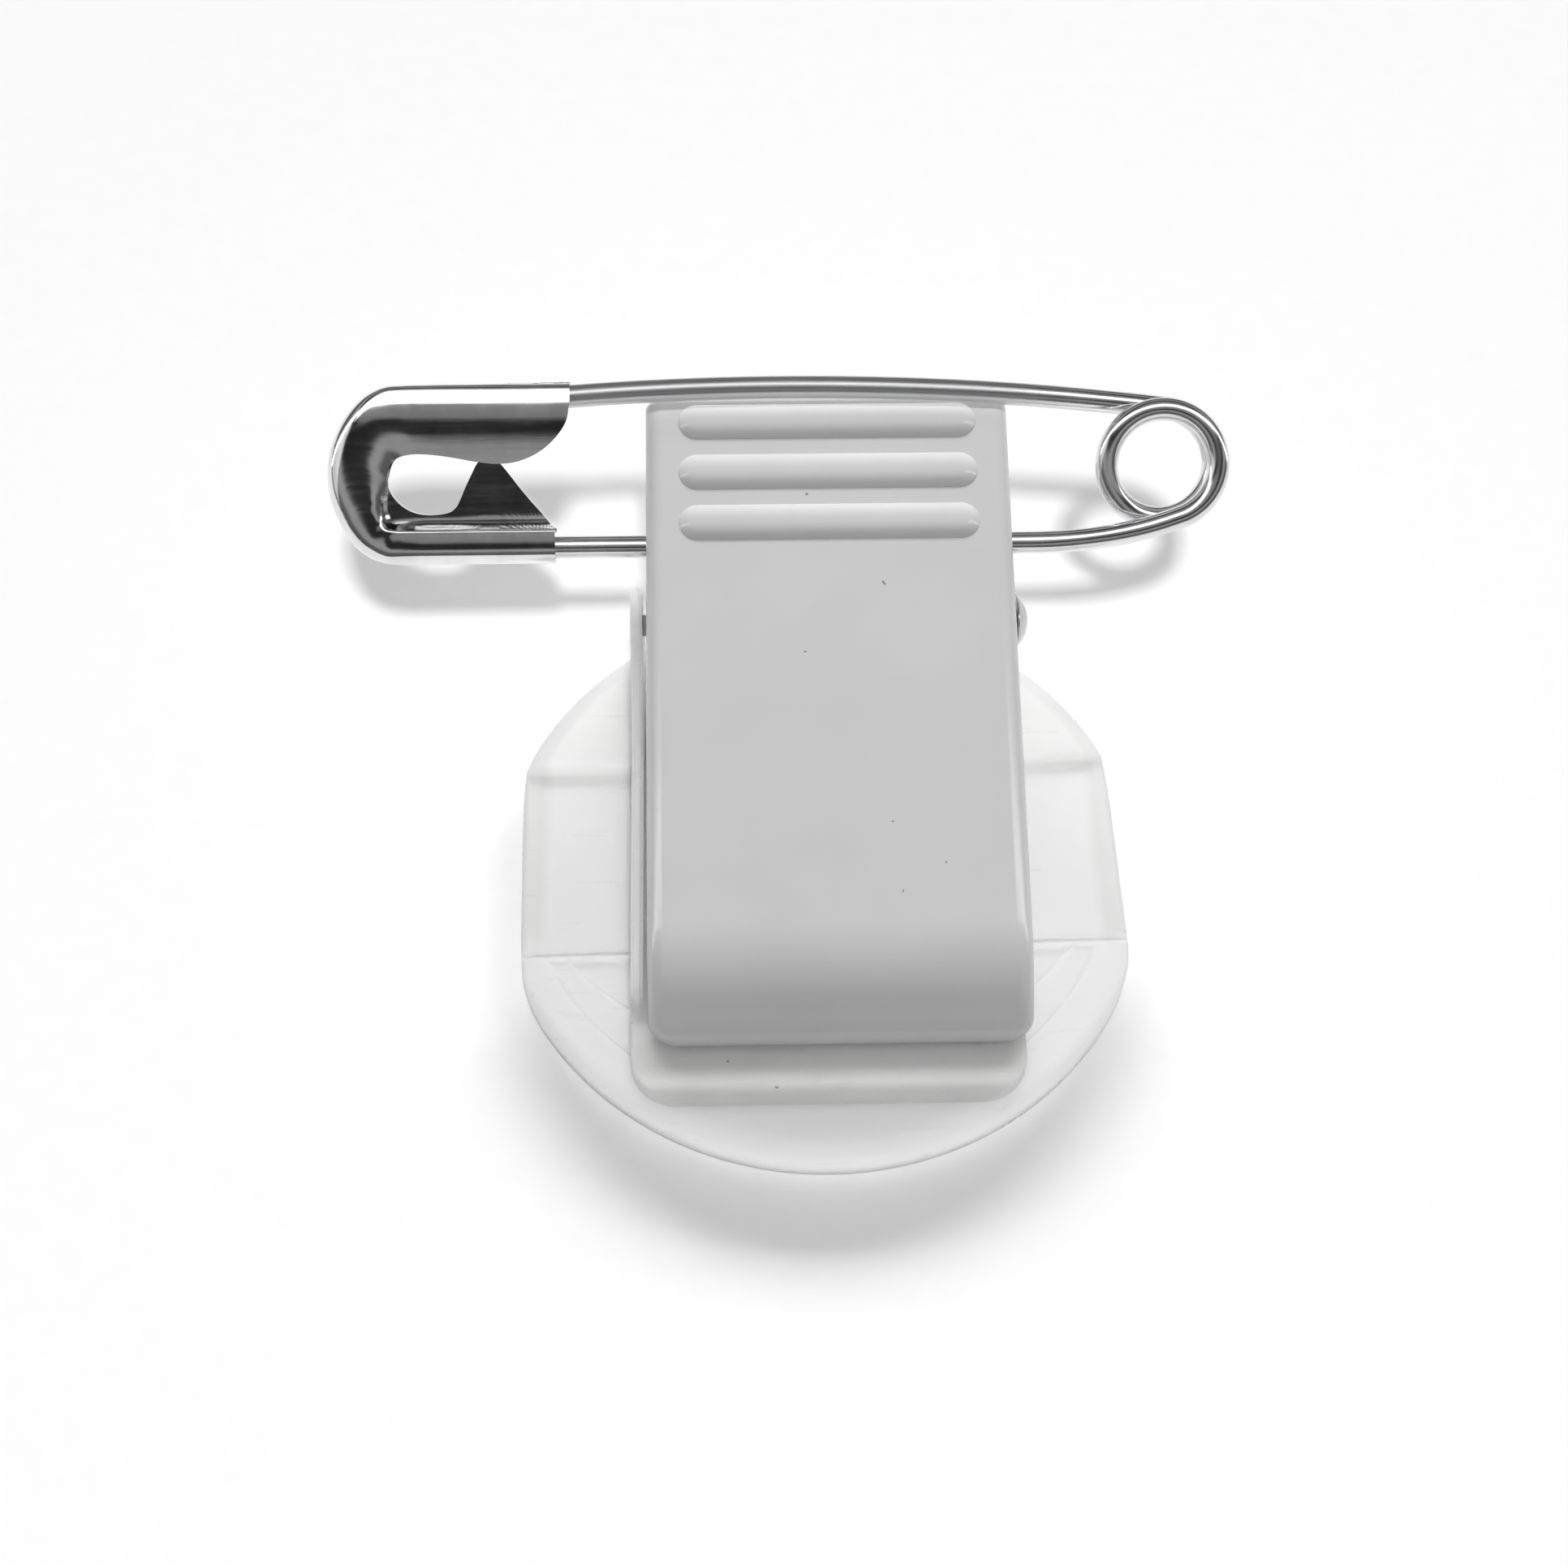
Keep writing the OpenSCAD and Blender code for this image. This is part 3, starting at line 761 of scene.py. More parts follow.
def wire_tree():
    """A round wire along the curve it runs on, thick as the curve's own radius. The attribute
    wire_lines goes round and along the wire, for its drawing lines."""
    t, given, end = geometry_tree("wire_along_path", [
        ("Sides", "NodeSocketInt"), ("Material", "NodeSocketMaterial")])
    way = t.node("GeometryNodeSplineParameter").outputs
    path = t.keep(given["Geometry"], "Along", way["Length"])
    circle = t.node("GeometryNodeCurvePrimitiveCircle", {"Resolution": given["Sides"]}, {"Radius": 1.0})
    ring = t.keep(circle.outputs["Curve"], "Round", way["Factor"])
    tube = t.node("GeometryNodeCurveToMesh", {
        "Curve": path["Geometry"], "Profile Curve": ring["Geometry"],
        "Scale": t.node("GeometryNodeInputRadius").outputs["Radius"]}, {"Fill Caps": True})
    turn = t.times(ring["Round"], 2 * math.pi)
    lines = t.join(X=t.math("COSINE", turn), Y=t.math("SINE", turn), Z=t.times(path["Along"], LINES_PER_M))
    store = t.node("GeometryNodeStoreNamedAttribute", {"Geometry": tube.outputs["Mesh"], "Value": lines},
                   {"Name": "wire_lines"}, data_type="FLOAT_VECTOR", domain="POINT")
    smooth = t.node("GeometryNodeSetShadeSmooth", {"Geometry": store.outputs["Geometry"]})
    return end_tree(t, smooth.outputs["Geometry"], given["Material"], end)


def bend_wire(name, rows, tree, finish, sides):
    """A wire through rows of (place in millimetres, radius), made by the wire tree."""
    curve = bpy.data.curves.new(name, "CURVE")
    curve.dimensions = "3D"
    spline = curve.splines.new("POLY")
    spline.points.add(len(rows) - 1)
    for point, (place, radius) in zip(spline.points, rows):
        point.co = (*[MM * c for c in place], 1.0)
        point.radius = MM * radius
    return run_tree(add_object(name, curve), tree, {"Sides": sides, "Material": finish})


def rib_tree():
    """Round-topped grip ribs with round ends and a flared foot, in a row along Y."""
    sizes = ["Half length", "Width", "Height", "Pitch", "Slope"]
    t, given, end = geometry_tree("grip_ribs", [("Count", "NodeSocketInt")]
                                  + [(s, "NodeSocketFloat") for s in sizes]
                                  + [("Rear rib", "NodeSocketVector"), ("Material", "NodeSocketMaterial")])
    grid = t.node("GeometryNodeMeshGrid", None, {
        "Size X": 1.0, "Size Y": 1.0, "Vertices X": 129, "Vertices Y": 29})
    place = t.split(t.node("GeometryNodeInputPosition").outputs[0])
    u, v = t.plus(place["X"], 0.5), t.plus(place["Y"], 0.5)
    turn = t.plus(t.ramp(u, 0.0, 0.25, -math.pi / 2, math.pi / 2), t.ramp(u, 0.5, 0.75, 0.0, math.pi))
    share = t.plus(t.ramp(u, 0.25, 0.5, 1.0, -1.0), t.ramp(u, 0.75, 1.0, 0.0, 2.0))
    half_w = t.times(given["Width"], 0.5)
    end_x = t.minus(given["Half length"], half_w)
    out, back = t.ramp(v, 0.0, 0.75), t.ramp(v, 0.75, 1.0)
    reach = t.times(half_w, t.minus(out, back))
    crown = t.math("POWER", t.minus(1.0, t.math("POWER", out, 2.6)), 1.25)
    sink = t.times(t.ramp(v, 0.74, 0.78), -RIB_SINK * MM)
    foot = t.times(t.ramp(out, 0.9, 1.0), -RIB_FOOT * MM)
    spot = t.join(X=t.plus(t.times(share, end_x), t.times(reach, t.math("COSINE", turn))),
                  Y=t.times(reach, t.math("SINE", turn)),
                  Z=t.plus(t.plus(t.times(given["Height"], crown), foot), sink))
    shaped = t.node("GeometryNodeSetPosition", {"Geometry": grid.outputs["Mesh"], "Position": spot})
    closed = t.node("GeometryNodeMergeByDistance", {"Geometry": shaped.outputs["Geometry"]},
                    {"Distance": 1e-6})
    step = t.join(Y=t.times(given["Pitch"], -1.0),
                  Z=t.times(given["Pitch"], t.times(t.math("TANGENT", given["Slope"]), -1.0)))
    row = t.node("GeometryNodeMeshLine", {
        "Count": given["Count"], "Start Location": given["Rear rib"], "Offset": step})
    ribs = t.node("GeometryNodeInstanceOnPoints", {
        "Points": row.outputs["Mesh"], "Instance": closed.outputs["Geometry"],
        "Rotation": t.join(X=given["Slope"])})
    return end_tree(t, ribs.outputs["Instances"], given["Material"], end)


def grip_ribs(finish):
    """The lever's ribs, made by the rib tree."""
    piece = add_object("grip_ribs", bpy.data.meshes.new("grip_ribs"))
    run_tree(piece, rib_tree(), {
        "Count": RIB_COUNT, "Half length": RIB_HALF_L * MM, "Width": RIB_W * MM, "Height": RIB_H * MM,
        "Pitch": RIB_PITCH * MM, "Slope": LEVER_SLOPE,
        "Rear rib": (LEVER_X * MM, RIB_Y * MM, lever_top(RIB_Y) * MM), "Material": finish})
    tidy_mesh(piece, 60.0)
    return piece


# Axle rivet

def axle_rivet():
    """Turned axle with a domed head and a chamfered left end."""
    crown_r = (AXLE_HEAD_R ** 2 + AXLE_HEAD_T ** 2) / (2 * AXLE_HEAD_T)
    crown_x = AXLE_HEAD_X + AXLE_HEAD_T - crown_r
    flat_r = AXLE_HEAD_R - AXLE_HEAD_RIM[-1][0]
    profile = [(r, crown_x + math.sqrt(crown_r ** 2 - r ** 2)) for r in spread(AXIS_GAP, flat_r, 14)]
    profile += [(AXLE_HEAD_R - inward, AXLE_HEAD_X + out) for inward, out in AXLE_HEAD_RIM]
    profile += [(AXLE_R + AXLE_NECK, AXLE_HEAD_X), (AXLE_R, AXLE_HEAD_X - AXLE_NECK)]
    profile += [(AXLE_R - inward, AXLE_END_X + out) for inward, out in AXLE_END_RIM]
    profile += [(AXIS_GAP, AXLE_END_X)]
    rivet = lathe("axle_rivet_turned", profile, sides=64, sharp=50.0)
    turn = Matrix(((0, 0, 1), (0, 1, 0), (-1, 0, 0))).to_4x4()
    rivet.data.transform(Matrix.Translation((0, AXLE[0] * MM, AXLE[1] * MM)) @ turn)
    tidy_mesh(rivet, 50.0)
    return rivet


# Spring

def spring_rows():
    """The spring's coil and its two legs, as (place, radius) rows."""
    def at(x, a):
        return (x, AXLE[0] + SPRING_COIL_R * math.cos(a), AXLE[1] + SPRING_COIL_R * math.sin(a))

    def leg(start, a, length):
        return [(start[0], start[1] + s * math.cos(a), start[2] + s * math.sin(a))
                for s in spread(0.0, length, 8)[1:]]

    ways = zip(spread(SPRING_X0, SPRING_X1, SPRING_STEPS), spread(SPRING_START, SPRING_END, SPRING_STEPS))
    coil = [at(x, a) for x, a in ways]
    low = SPRING_END + math.pi / 2
    low_l = (coil[-1][2] - (JAW_TOP + SPRING_R + FIT_GAP)) / -math.sin(low)
    upper = leg(coil[0], SPRING_START - math.pi / 2, SPRING_LEG_L)
    return [(place, SPRING_R) for place in upper[::-1] + coil + leg(coil[-1], low, low_l)]


# Pin

def in_pin_plane(u, v, w):
    """A place in the pin's plane: u along the pin, v over its fixed arm, w out of the plane."""
    cos_t, sin_t = math.cos(PIN_TILT), math.sin(PIN_TILT)
    return (PIN_MID[0] + u, PIN_MID[1] + v * cos_t - w * sin_t, PIN_MID[2] + v * sin_t + w * cos_t)


def pin_rows():
    """Fixed arm, bend, one and a half turns of coil, and the bowed needle with its ground point."""
    bend_r = ((COIL_U - STRAIGHT_END) ** 2 + COIL_V ** 2 - COIL_R ** 2) / (2 * (COIL_V - COIL_R))
    bend_end = math.atan2(COIL_V - bend_r, COIL_U - STRAIGHT_END)
    bow_drop = math.sqrt((BOW_R - COIL_R) ** 2 - (COIL_U - BOW_APEX_U) ** 2)
    bow_start = math.atan2(bow_drop, COIL_U - BOW_APEX_U)
    bow_end = math.acos((GRIP_U - BOW_APEX_U) / BOW_R)
    needle_side = COIL_U + COIL_R * math.cos(bow_start)
    rows = [(u, 0.0, 0.0, PIN_R) for u in spread(GRIP_U, STRAIGHT_END, 40)[:-1]]
    bend = arc((STRAIGHT_END, bend_r), bend_r, -math.pi / 2, bend_end, BEND_STEPS)[:-1]
    rows += [(u, v, COIL_HALF_D * ease(hold(i / BEND_STEPS / BEND_OUT_BY)), PIN_R)
             for i, (u, v) in enumerate(bend)]
    coil = arc((COIL_U, COIL_V), COIL_R, bend_end, 2 * math.pi + bow_start, COIL_STEPS)
    rows += [(u, v, COIL_HALF_D * (1 - 2 * i / COIL_STEPS), PIN_R) for i, (u, v) in enumerate(coil)]
    for u, v in arc((BOW_APEX_U, COIL_V - bow_drop), BOW_R, bow_start, bow_end, BOW_STEPS)[1:]:
        far = max(0.0, (u - NEEDLE_LEVEL_U) / (needle_side - NEEDLE_LEVEL_U))
        sharp = hold((u - GRIP_U) / POINT_L)
        rows.append((u, v, -COIL_HALF_D * far ** 1.5, POINT_R + (PIN_R - POINT_R) * math.sqrt(sharp)))
    return [(in_pin_plane(u, v, w), r) for u, v, w, r in rows]


# Pin head, one sheet folded round its outer edge

# Each row is a cut across the sheet: the outer fold, the front edge and the back edge in the
# pin's plane, how much the cut is a tube round the wire, where the front comes to its full
# depth, and the depth of the front edge.
HEAD_COLUMNS = ["out_u", "out_v", "front_u", "front_v", "back_u", "back_v", "tube", "full", "front_w"]
HEAD_ROWS = [
    (-10.22, 6.86, -10.22, 6.10, -10.60, 6.20, 0.0, 0.6, 0.80),
    (-10.50, 6.86, -10.38, 5.30, -10.80, 5.40, 0.0, 0.6, 0.80),
    (-10.95, 6.86, -10.84, 4.62, -11.20, 4.80, 0.0, 0.6, 0.80),
    (-11.65, 6.85, -11.56, 4.02, -11.80, 4.20, 0.0, 0.6, 0.80),
    (-12.50, 6.84, -12.44, 3.65, -12.60, 3.80, 0.0, 0.6, 0.80),
    (-13.40, 6.83, -13.34, 3.56, -13.40, 3.75, 0.0, 0.6, 0.80),
    (-14.30, 6.82, -14.20, 3.66, -14.25, 3.85, 0.0, 0.6, 0.80),
    (-15.20, 6.82, -15.05, 3.82, -15.08, 3.94, 0.0, 0.6, 0.80),
    (-16.15, 6.81, -15.85, 3.94, -15.88, 4.02, 0.0, 0.6, 0.80),
    (-17.05, 6.80, -16.60, 3.99, -16.62, 4.06, 0.0, 0.7, 0.78),
    (-17.95, 6.73, -17.12, 3.93, -17.14, 3.98, 0.0, 0.85, 0.68),
    (-18.75, 6.36, -17.46, 3.80, -17.48, 3.84, 0.0, 1.0, 0.57),
    (-19.42, 5.72, -17.69, 3.60, -17.71, 3.62, 0.0, 1.1, 0.47),
    (-19.94, 4.93, -17.83, 3.36, -17.85, 3.36, 0.0, 1.2, 0.43),
    (-20.27, 4.08, -17.90, 3.09, -17.93, 3.08, 0.0, 1.2, 0.40),
    (-20.41, 3.19, -17.94, 2.80, -18.00, 2.79, 0.0, 1.2, 0.40),
    (-20.36, 2.29, -18.04, 2.46, -17.97, 2.49, 0.0, 1.2, 0.41),
    (-20.11, 1.42, -18.17, 2.10, -17.85, 2.21, 0.0, 1.2, 0.43),
    (-19.66, 0.63, -18.21, 1.72, -17.66, 1.95, 0.1, 1.1, 0.45),
    (-19.02, -0.01, -18.11, 1.34, -17.40, 1.71, 0.3, 1.0, 0.45),
    (-18.22, -0.44, -17.84, 1.00, -17.08, 1.52, 0.6, 1.0, 0.38),
    (-17.34, -0.65, -17.32, 0.81, -16.72, 1.40, 0.9, 1.0, 0.26),
    (-16.45, -0.68, -16.50, 0.76, -16.25, 1.35, 1.0, 1.0, 0.2),
    (-15.80, -0.68, -15.82, 0.75, -15.80, 1.38, 1.0, 1.0, 0.2),
    (-15.40, -0.68, -15.40, 0.75, -15.45, 1.46, 1.0, 1.0, 0.2),
    (-15.10, -0.68, -15.10, 0.75, -15.18, 1.66, 1.0, 1.0, 0.2),
    (-14.70, -0.68, -14.70, 0.75, -14.66, 2.70, 1.0, 1.0, 0.2),
    (-14.30, -0.68, -14.30, 0.75, -14.20, 3.55, 1.0, 1.0, 0.2),
    (-14.05, -0.68, -14.05, 0.75, -14.02, 3.68, 1.0, 1.0, 0.2),
    (-13.50, -0.68, -13.50, 0.75, -13.48, 3.68, 1.0, 1.0, 0.2),
    (-13.25, -0.68, -13.25, 0.75, -13.23, 3.45, 1.0, 1.0, 0.2),
    (-12.20, -0.68, -12.20, 0.75, -12.20, 2.12, 1.0, 1.0, 0.2),
    (-11.20, -0.68, -11.20, 0.75, -11.16, 0.92, 1.0, 1.0, 0.2),
    (-10.97, -0.68, -10.97, 0.75, -10.97, 0.70, 1.0, 1.0, 0.2),
]


def smooth_columns(rows, steps, round_columns):
    """A finer table through the rows: round through the first columns, without overshoot in the rest."""
    table = np.array(rows, float)
    slope = np.diff(table, axis=0)
    lean = np.zeros_like(table)
    same = slope[:-1] * slope[1:] > 0
    both = np.where(same, slope[:-1] + slope[1:], 1.0)
    lean[1:-1] = np.where(same, 2 * slope[:-1] * slope[1:] / both, 0.0)
    lean[1:-1, :round_columns] = (slope[:-1, :round_columns] + slope[1:, :round_columns]) / 2
    lean[0], lean[-1] = slope[0], slope[-1]
    fine = []
    for k in range(len(table) - 1):
        for i in range(steps):
            t = i / steps
            fine.append((2 * t ** 3 - 3 * t ** 2 + 1) * table[k] + (t ** 3 - 2 * t ** 2 + t) * lean[k]
                        + (3 * t ** 2 - 2 * t ** 3) * table[k + 1] + (t ** 3 - t ** 2) * lean[k + 1])
    fine.append(table[-1])
    return fine


def tube_front(share):
    """Front of the fold round the wire: up its round side, then nearly flat, then a rolled edge."""
    if share < TUBE_ROUND_TO:
        turn = -math.pi / 2 * (1 - share / TUBE_ROUND_TO)
        return TUBE_BEND_V + (TUBE_BEND_V - TUBE_LOW_V) * math.sin(turn), TUBE_HALF_W * math.cos(turn)
    if share < TUBE_FLAT_TO:
        rise = (share - TUBE_ROUND_TO) / (TUBE_FLAT_TO - TUBE_ROUND_TO)
        return TUBE_BEND_V + (ROLL_V - TUBE_BEND_V) * rise, TUBE_HALF_W - TUBE_FALL * rise ** 2
    turn = (share - TUBE_FLAT_TO) / (1 - TUBE_FLAT_TO) * ROLL_TURN
    return ROLL_V + ROLL_R * math.sin(turn), TUBE_HALF_W - TUBE_FALL - ROLL_R * (1 - math.cos(turn))


def dome(distance, full):
    """Share of the full depth at a distance from the fold."""
    return math.sqrt(max(1 - (1 - hold(distance / full)) ** 2, 1e-6))


def fold_front(share, cut):
    """Place across the front of the fold: 0 at the outer edge, 1 at the front edge."""
    out, front = (cut["out_u"], cut["out_v"]), (cut["front_u"], cut["front_v"])
    reach = math.dist(out, front)
    k = (1 - math.cos(share * math.pi / 2)) ** 0.9
    u, v = toward(out, front, k)
    down = HEAD_TOP_V - v
    flap = (HEAD_HALF_D - FLAP_FACE_D) * dome(down, FLAP_ROLL)
    flap += FLAP_FACE_D * (1 - (1 - hold(down / FLAP_FULL)) ** 2)
    past = max(down - FLAP_FULL, 0.0)
    lean = FLAP_LEAN * (past - FLAP_BEND * (1 - math.exp(-past / FLAP_BEND)))
    flap -= lean * (1 - ramp_up(LEAN_END_U - cut["out_u"], LEAN_END_W))
    full = min(cut["full"], reach)
    side = HEAD_HALF_D * dome(k * reach, full)
    side -= (HEAD_HALF_D - cut["front_w"]) * (max(k * reach - full, 0.0) / max(reach - full, LEAST)) ** 2
    both = max(side, LEAST) ** -CORNER_MIX + max(flap, LEAST) ** -CORNER_MIX
    depth = both ** (-1 / CORNER_MIX) - CORNER_LOSS
    return (u, *toward((v, depth), tube_front(share), cut["tube"]))


def fold_back(share, cut):
    """Place across the back of the fold: 0 at the outer edge, 1 at the back edge."""
    out, back = (cut["out_u"], cut["out_v"]), (cut["back_u"], cut["back_v"])
    reach = math.dist(out, back)
    k = 1 - math.cos(share * math.pi / 2)
    u, v = toward(out, back, k)
    depth = HEAD_HALF_D * math.sqrt(1 - (1 - min(k * reach / min(BACK_FULL, reach), 1.0)) ** 2)
    round_part = min((v - TUBE_BEND_V) / (TUBE_BEND_V - TUBE_LOW_V), 0.0)
    tube_d = TUBE_BACK_D * math.sqrt(max(1 - round_part ** 2, 0.0))
    tube_d += BACK_BULGE * ease(hold((v - TUBE_BEND_V) / BULGE_RISE))
    tab_d = TUBE_BACK_D + BACK_BULGE - HEAD_HALF_D
    tube_d -= tab_d * ease(hold((v - BULGE_END_V) / (TAB_BEND_V - BULGE_END_V)))
    return (u, v, -(depth + (tube_d - depth) * cut["tube"]))


def pin_cap():
    """The folded head, as a skin of cuts from its back edge over the fold to its front edge."""
    rings = []
    for row in smooth_columns(HEAD_ROWS, ROW_STEPS, ROUND_COLUMNS):
        cut = dict(zip(HEAD_COLUMNS, row))
        ring = [fold_back(1 - i / BACK_STEPS, cut) for i in range(BACK_STEPS)]
        ring += [fold_front(i / FRONT_STEPS, cut) for i in range(FRONT_STEPS + 1)]
        rings.append([in_pin_plane(*place) for place in ring])
    cap = loft("pin_cap_folded", rings, closed_ring=False, caps=False, sharp=60.0)
    forward = Vector((0.0, -math.sin(PIN_TILT), math.cos(PIN_TILT)))
    front = [f for f in cap.data.polygons
             if (f.center - Vector(PIN_MID) * MM).dot(forward) > FLAP_FACE_D * MM]
    if sum(f.normal.dot(forward) * f.area for f in front) < 0:
        cap.data.flip_normals()
    wall = cap.modifiers.new("wall", "SOLIDIFY")
    wall.thickness = SHEET_T * MM
    wall.offset = -1.0
    wall.use_even_offset = False
    rims = cap.modifiers.new("rims", "BEVEL")
    rims.width = RIM_EDGE * MM
    rims.segments = 2
    rims.limit_method = "ANGLE"
    rims.angle_limit = math.radians(50)
    apply_modifiers(cap)
    close_seams(cap)
    tidy_mesh(cap, 50.0)
    return cap


# Materials

def material(name):
    """An empty material: its tree, its surface shader and the place on the piece, in metres."""
    made = bpy.data.materials.new(name)
    made.use_nodes = True
    t = Tree(made.node_tree)
    shader = made.node_tree.nodes["Principled BSDF"]
    place = t.node("ShaderNodeTexCoord").outputs["Object"]
    return made, t, shader, place


def noise(t, place, scale, detail=3.0, stretch=None, roughness=0.5):
    """Noise with a scale in features per metre, stretched along an axis where its stretch is low."""
    if stretch:
        place = t.node("ShaderNodeMapping", {"Vector": place}, {"Scale": stretch}).outputs["Vector"]
    node = t.node("ShaderNodeTexNoise", {"Vector": place}, {
        "Scale": scale, "Detail": detail, "Roughness": roughness})
    return node.outputs["Fac"]


def bump(t, shader, heights, distance):
    """Bump from the sum of two heights, distance in metres."""
    node = t.node("ShaderNodeBump", {"Height": t.plus(*heights)}, {"Strength": 1.0, "Distance": distance})
    t.feed(shader, {"Normal": node.outputs["Normal"]})


def specks(t, place, rows):
    """How much dark speck there is at a place, for rows of specks."""
    at = t.split(place)
    ragged = t.ramp(noise(t, place, 4000.0, 2.0), 0.3, 0.7, 0.6, 1.5)
    total = 0.0
    for x, y, half_l, half_w, turn in rows:
        cos_t, sin_t = math.cos(math.radians(turn)), math.sin(math.radians(turn))
        dx, dy = t.minus(at["X"], x * MM), t.minus(at["Y"], y * MM)
        along = t.plus(t.times(dx, cos_t), t.times(dy, sin_t))
        across = t.minus(t.times(dy, cos_t), t.times(dx, sin_t))
        far = t.plus(*[t.math("POWER", t.math("ABSOLUTE", t.math("DIVIDE", way, half * MM)), 2.0)
                       for way, half in ((along, half_l), (across, half_w))])
        total = t.math("MAXIMUM", total, t.ramp(t.times(far, ragged), 0.6, 1.2, 0.75, 0.0))
    return total


def painted_wall_light(t, place, colour):
    """The colour, painted paler on the jaw's walls above its floor as painted light, while the floor and lip
    keep the darker colour that is painted shade.
    """
    on_walls = t.ramp(t.split(place)["Z"], (JAW_TOP + 0.2) * MM, (JAW_TOP + 0.7) * MM)
    return t.mix(on_walls, colour, (0.96, 0.96, 0.955))


def painted_rim_shade(t, place, colour):
    """The colour, with painted shade: greyer along the disc's side and rear rims, and a little greyer on its
    rear field.
    """
    at = t.split(place)
    flat = t.join(X=at["X"], Y=at["Y"])
    reach = t.node("ShaderNodeVectorMath", {0: flat}, operation="LENGTH").outputs["Value"]
    from_side = t.minus(DISC_HALF_W * MM, t.math("ABSOLUTE", at["X"]))
    inset = t.math("MINIMUM", t.minus(DISC_R * MM, reach), from_side)
    not_front = t.ramp(at["Y"], (FRONT_FIELD_Y - 1.0) * MM, (FRONT_FIELD_Y + 1.0) * MM)
    rim = t.times(t.ramp(inset, 0.7 * RIM_W * MM, 1.2 * RIM_W * MM, 0.7, 0.0), not_front)
    rear = t.ramp(at["Y"], (REAR_FIELD_Y - FIELD_STEP) * MM, (REAR_FIELD_Y + FIELD_STEP) * MM, 0.0, 0.4)
    return t.mix(t.math("MAXIMUM", rim, rear), colour, (0.76, 0.76, 0.755))


def milky_plastic(name, dark, light, depth, shade):
    """Translucent white moulding with faint flow marks, fine tool lines, and the painted light and shade
    that its shade function adds to the colour.
    Depth, in metres, is how far light spreads in it."""
    made, t, shader, place = material(name)
    flow = noise(t, place, 260.0, 4.0)
    streaks = noise(t, place, 2600.0, 2.0, stretch=(0.12, 1.0, 1.0))
    colour = shade(t, place, t.mix(t.ramp(flow, 0.3, 0.7), dark, light))
    t.fill(shader, {"Subsurface Weight": 0.8, "Subsurface Radius": (1.0, 1.0, 1.0),
                    "Subsurface Scale": depth, "IOR": 1.49})
    t.feed(shader, {"Base Color": t.mix(specks(t, place, LIP_SPECKS), colour, (0.2, 0.2, 0.2)),
                    "Roughness": t.ramp(streaks, 0.3, 0.7, 0.26, 0.4)})
    bump(t, shader, [t.times(flow, 0.4), t.times(streaks, 0.12)], 0.00003)
    return made


def grey_plastic():
    """Glossy light grey moulding with a soft waviness, fine grain and a few dark specks."""
    made, t, shader, place = material("grey_plastic")
    cloud = noise(t, place, 180.0, 3.0)
    grain = noise(t, place, 3000.0, 2.0)
    colour = t.mix(t.ramp(cloud, 0.3, 0.7), (0.60, 0.60, 0.605), (0.63, 0.63, 0.635))
    t.fill(shader, {"IOR": 1.5})
    t.feed(shader, {"Base Color": t.mix(specks(t, place, LEVER_SPECKS), colour, (0.12, 0.12, 0.12)),
                    "Roughness": t.ramp(grain, 0.3, 0.7, 0.15, 0.2)})
    bump(t, shader, [cloud, t.times(grain, 0.008)], 0.00004)
    return made


def bright_metal(name, colour, rough, drawn=False, dull_from=None):
    """Polished metal with small stains and faint lines, which follow the wire where it is drawn.
    It is duller past a length along its wire."""
    made, t, shader, place = material(name)
    stain = noise(t, place, 700.0, 4.0, roughness=0.6)
    if drawn:
        place = t.node("ShaderNodeAttribute", attribute_name="wire_lines").outputs["Vector"]
        lines = noise(t, place, 3.0, 3.0)
    else:
        lines = noise(t, place, 5200.0, 3.0, stretch=(0.05, 1.0, 1.0))
    tint = t.mix(t.ramp(stain, 0.35, 0.65), tuple(0.86 * c for c in colour), colour)
    rubbed = t.ramp(t.times(lines, t.plus(stain, 0.5)), 0.3, 0.7, rough, rough * 1.7)
    if dull_from:
        starts, ends = LINES_PER_M * dull_from * MM, LINES_PER_M * (dull_from + 4.0) * MM
        dull = t.ramp(t.split(place)["Z"], starts, ends)
        rubbed = t.plus(rubbed, t.times(dull, 0.16))
        tint = t.mix(dull, tint, (0.6, 0.6, 0.61))
    t.fill(shader, {"Metallic": 1.0})
    t.feed(shader, {"Base Color": tint, "Roughness": rubbed})
    bump(t, shader, [lines, t.times(stain, 0.6)], 0.0000015)
    return made


def paper_floor():
    made, t, shader, place = material("paper_floor")
    t.fill(shader, {"Roughness": 0.9})
    t.feed(shader, {"Base Color": t.mix(noise(t, place, 900.0), (0.9, 0.9, 0.9), (0.93, 0.93, 0.93))})
    return made


def paint(piece, finish):
    """Gives a piece one finish."""
    piece.data.materials.clear()
    piece.data.materials.append(finish)


# Pieces, each on its body

def seat(piece, finish, body, node):
    """Gives a piece its finish, and says what it moves with and which node it stands for."""
    paint(piece, finish)
    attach(piece, body)
    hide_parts(node)


